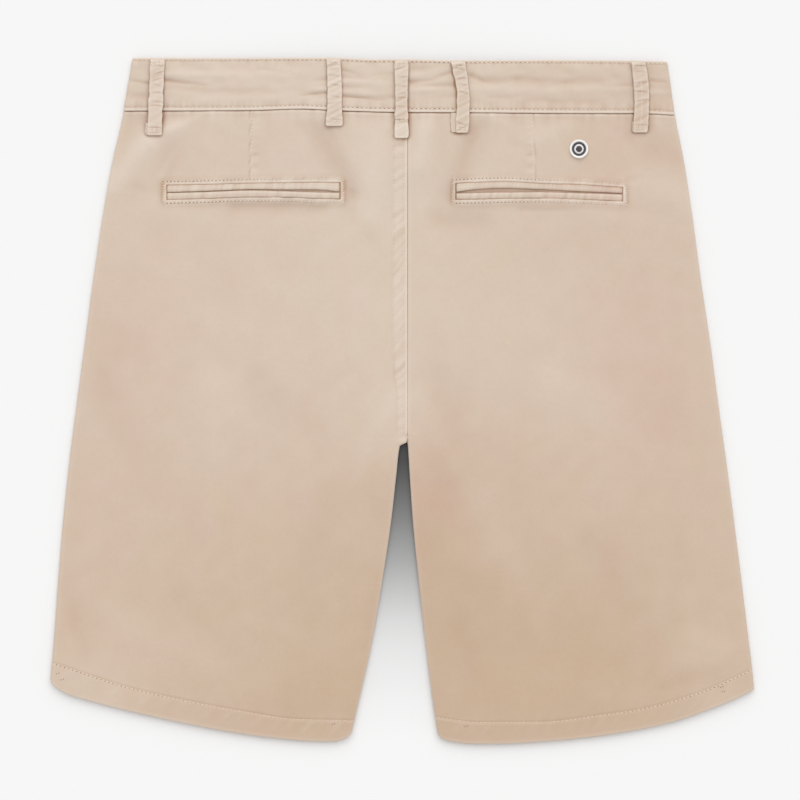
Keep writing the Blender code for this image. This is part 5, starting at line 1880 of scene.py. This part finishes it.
# --- stage --------------------------------------------------------------------------------------
LEG_SHADE = (                   # (down, share of the floor's brightness) between the legs
    (250, 1.0), (285, 0.085), (298, 0.085), (314, 0.1), (330, 0.15), (345, 0.21), (360, 0.275),
    (376, 0.365), (392, 0.455), (407, 0.56), (423, 0.67), (438, 0.77), (454, 0.84), (470, 0.89),
    (501, 0.96), (532, 1.0),
)
LEG_SHADE_REACH = (0.04, 0.06)  # across, in metres, over which that shade runs out
FLOOR_HALF = 4.0                # half width of the floor, in metres
FLOOR_DOWN = 0.1 * MM           # its depth below the garment
KEY_WAY = Vector((-0.08, -0.6, -0.85))
KEY_SPREAD = math.radians(75)
VIEW_CENTRE = (-0.00168, 0.00089, 0.006)        # the view is level there, in metres


def floor_finish(colour):
    """Plain pale floor, in deeper shade between the legs."""
    made, shader, add = new_material("pale_floor")
    place = add("ShaderNodeTexCoord", "place").outputs["Object"]
    axes = add("ShaderNodeSeparateXYZ", "axes", {0: place}).outputs
    first, last = LEG_SHADE[0][0], LEG_SHADE[-1][0]
    run = {"From Min": (DOWN_SHIFT - first) * MM, "From Max": (DOWN_SHIFT - last) * MM}
    down = add("ShaderNodeMapRange", "down the gap", {**run, "Value": axes["Y"]}).outputs[0]
    ramp = add("ShaderNodeValToRGB", "shade between the legs", {"Fac": down})
    stops = ramp.color_ramp.elements
    for k, (level, share) in enumerate(LEG_SHADE):
        at = (level - first) / (last - first)
        stop = stops[k] if k < 2 else stops.new(at)
        stop.position, stop.color = at, (share, share, share, 1)
    reach = {"From Min": LEG_SHADE_REACH[1], "From Max": LEG_SHADE_REACH[0]}
    off = maths(add, "off the gap", "ABSOLUTE", axes["X"])
    beside = add("ShaderNodeMapRange", "beside the gap", {**reach, "Value": off},
                 interpolation_type="SMOOTHSTEP").outputs[0]
    feed(shader.inputs["Base Color"],
         mix(add, "floor", "MULTIPLY", beside, (*colour, 1), ramp.outputs["Color"]))
    shader.inputs["Roughness"].default_value = 1.0
    shader.inputs["Specular IOR Level"].default_value = 0.0
    return made


class SHORTS_OT_stage(Operator):
    """Pale floor, even sky, a soft light from above the waist and an overhead camera"""
    bl_idname = "shorts.stage"
    bl_label = "Stage"

    def execute(self, context):
        scene, values = context.scene, context.scene.shorts_stage
        mesh = bpy.data.meshes.new("floor")
        corners = ((-1, -1), (1, -1), (1, 1), (-1, 1))
        places = [(x * FLOOR_HALF, y * FLOOR_HALF, -FLOOR_DOWN) for x, y in corners]
        mesh.from_pydata(places, [], [(0, 1, 2, 3)])
        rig.stage(new_object("floor", mesh, [floor_finish(values.floor)]))

        sky = bpy.data.worlds.new("even_sky")
        sky.use_nodes = True
        light = sky.node_tree.nodes["Background"].inputs
        light["Color"].default_value = (1, 1, 1, 1)
        light["Strength"].default_value = values.sky
        scene.world = sky
        sun = bpy.data.lights.new("key", "SUN")
        sun.energy = values.key
        sun.angle = KEY_SPREAD
        key = bpy.data.objects.new("key", sun)
        key.rotation_euler = KEY_WAY.to_track_quat("-Z", "Y").to_euler()
        scene.collection.objects.link(key)

        camera = bpy.data.cameras.new("camera")
        camera.lens = values.lens
        camera.sensor_width = 36.0
        distance = values.picture_width * values.lens / camera.sensor_width
        camera.clip_start, camera.clip_end = 0.05, 50.0
        view = bpy.data.objects.new("camera", camera)
        view.location = (*VIEW_CENTRE[:2], distance + VIEW_CENTRE[2])
        scene.collection.objects.link(view)
        scene.camera = view
        scene.view_settings.view_transform = "Standard"
        return {"FINISHED"}


# --- add-on -------------------------------------------------------------------------------------
OPERATORS = (
    SHORTS_OT_stage, SHORTS_OT_back_panels, SHORTS_OT_front_panels, SHORTS_OT_waistband,
    SHORTS_OT_welts, SHORTS_OT_belt_loops, SHORTS_OT_topstitch, SHORTS_OT_bartacks,
    SHORTS_OT_badge, SHORTS_OT_waist_button, SHORTS_OT_cuts,
)
SETTINGS = {
    "shorts_cloth": ShortsCloth, "shorts_sewing": ShortsSewing,
    "shorts_trims": ShortsTrims, "shorts_stage": ShortsStage,
}


class SHORTS_PT_sidebar(Panel):
    """The operators in the order in which they run, under their settings"""
    bl_idname = "SHORTS_PT_sidebar"
    bl_label = "Shorts"
    bl_space_type = "VIEW_3D"
    bl_region_type = "UI"
    bl_category = "Shorts"

    def draw(self, context):
        for name in SETTINGS:
            group = getattr(context.scene, name)
            box = self.layout.box()
            for key in group.bl_rna.properties.keys():
                if key not in ("rna_type", "name"):
                    box.prop(group, key)
        for operator in OPERATORS:
            self.layout.operator(operator.bl_idname)


def register():
    for each in (*SETTINGS.values(), *OPERATORS, SHORTS_PT_sidebar):
        bpy.utils.register_class(each)
    for name, group in SETTINGS.items():
        setattr(bpy.types.Scene, name, PointerProperty(type=group))


def unregister():
    for name in SETTINGS:
        delattr(bpy.types.Scene, name)
    for each in (SHORTS_PT_sidebar, *reversed(OPERATORS), *reversed(SETTINGS.values())):
        bpy.utils.unregister_class(each)


def main():
    register()
    for operator in OPERATORS:
        family, name = operator.bl_idname.split(".")
        getattr(getattr(bpy.ops, family), name)()
    bpy.context.view_layer.update()
    visual_box = [[float(value) for value in corner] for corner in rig.bounds()]
    with open("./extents.json", "w") as file:
        json.dump({"cad": CAD_BOX, "visual": visual_box}, file)


if __name__ == "__main__":
    main()
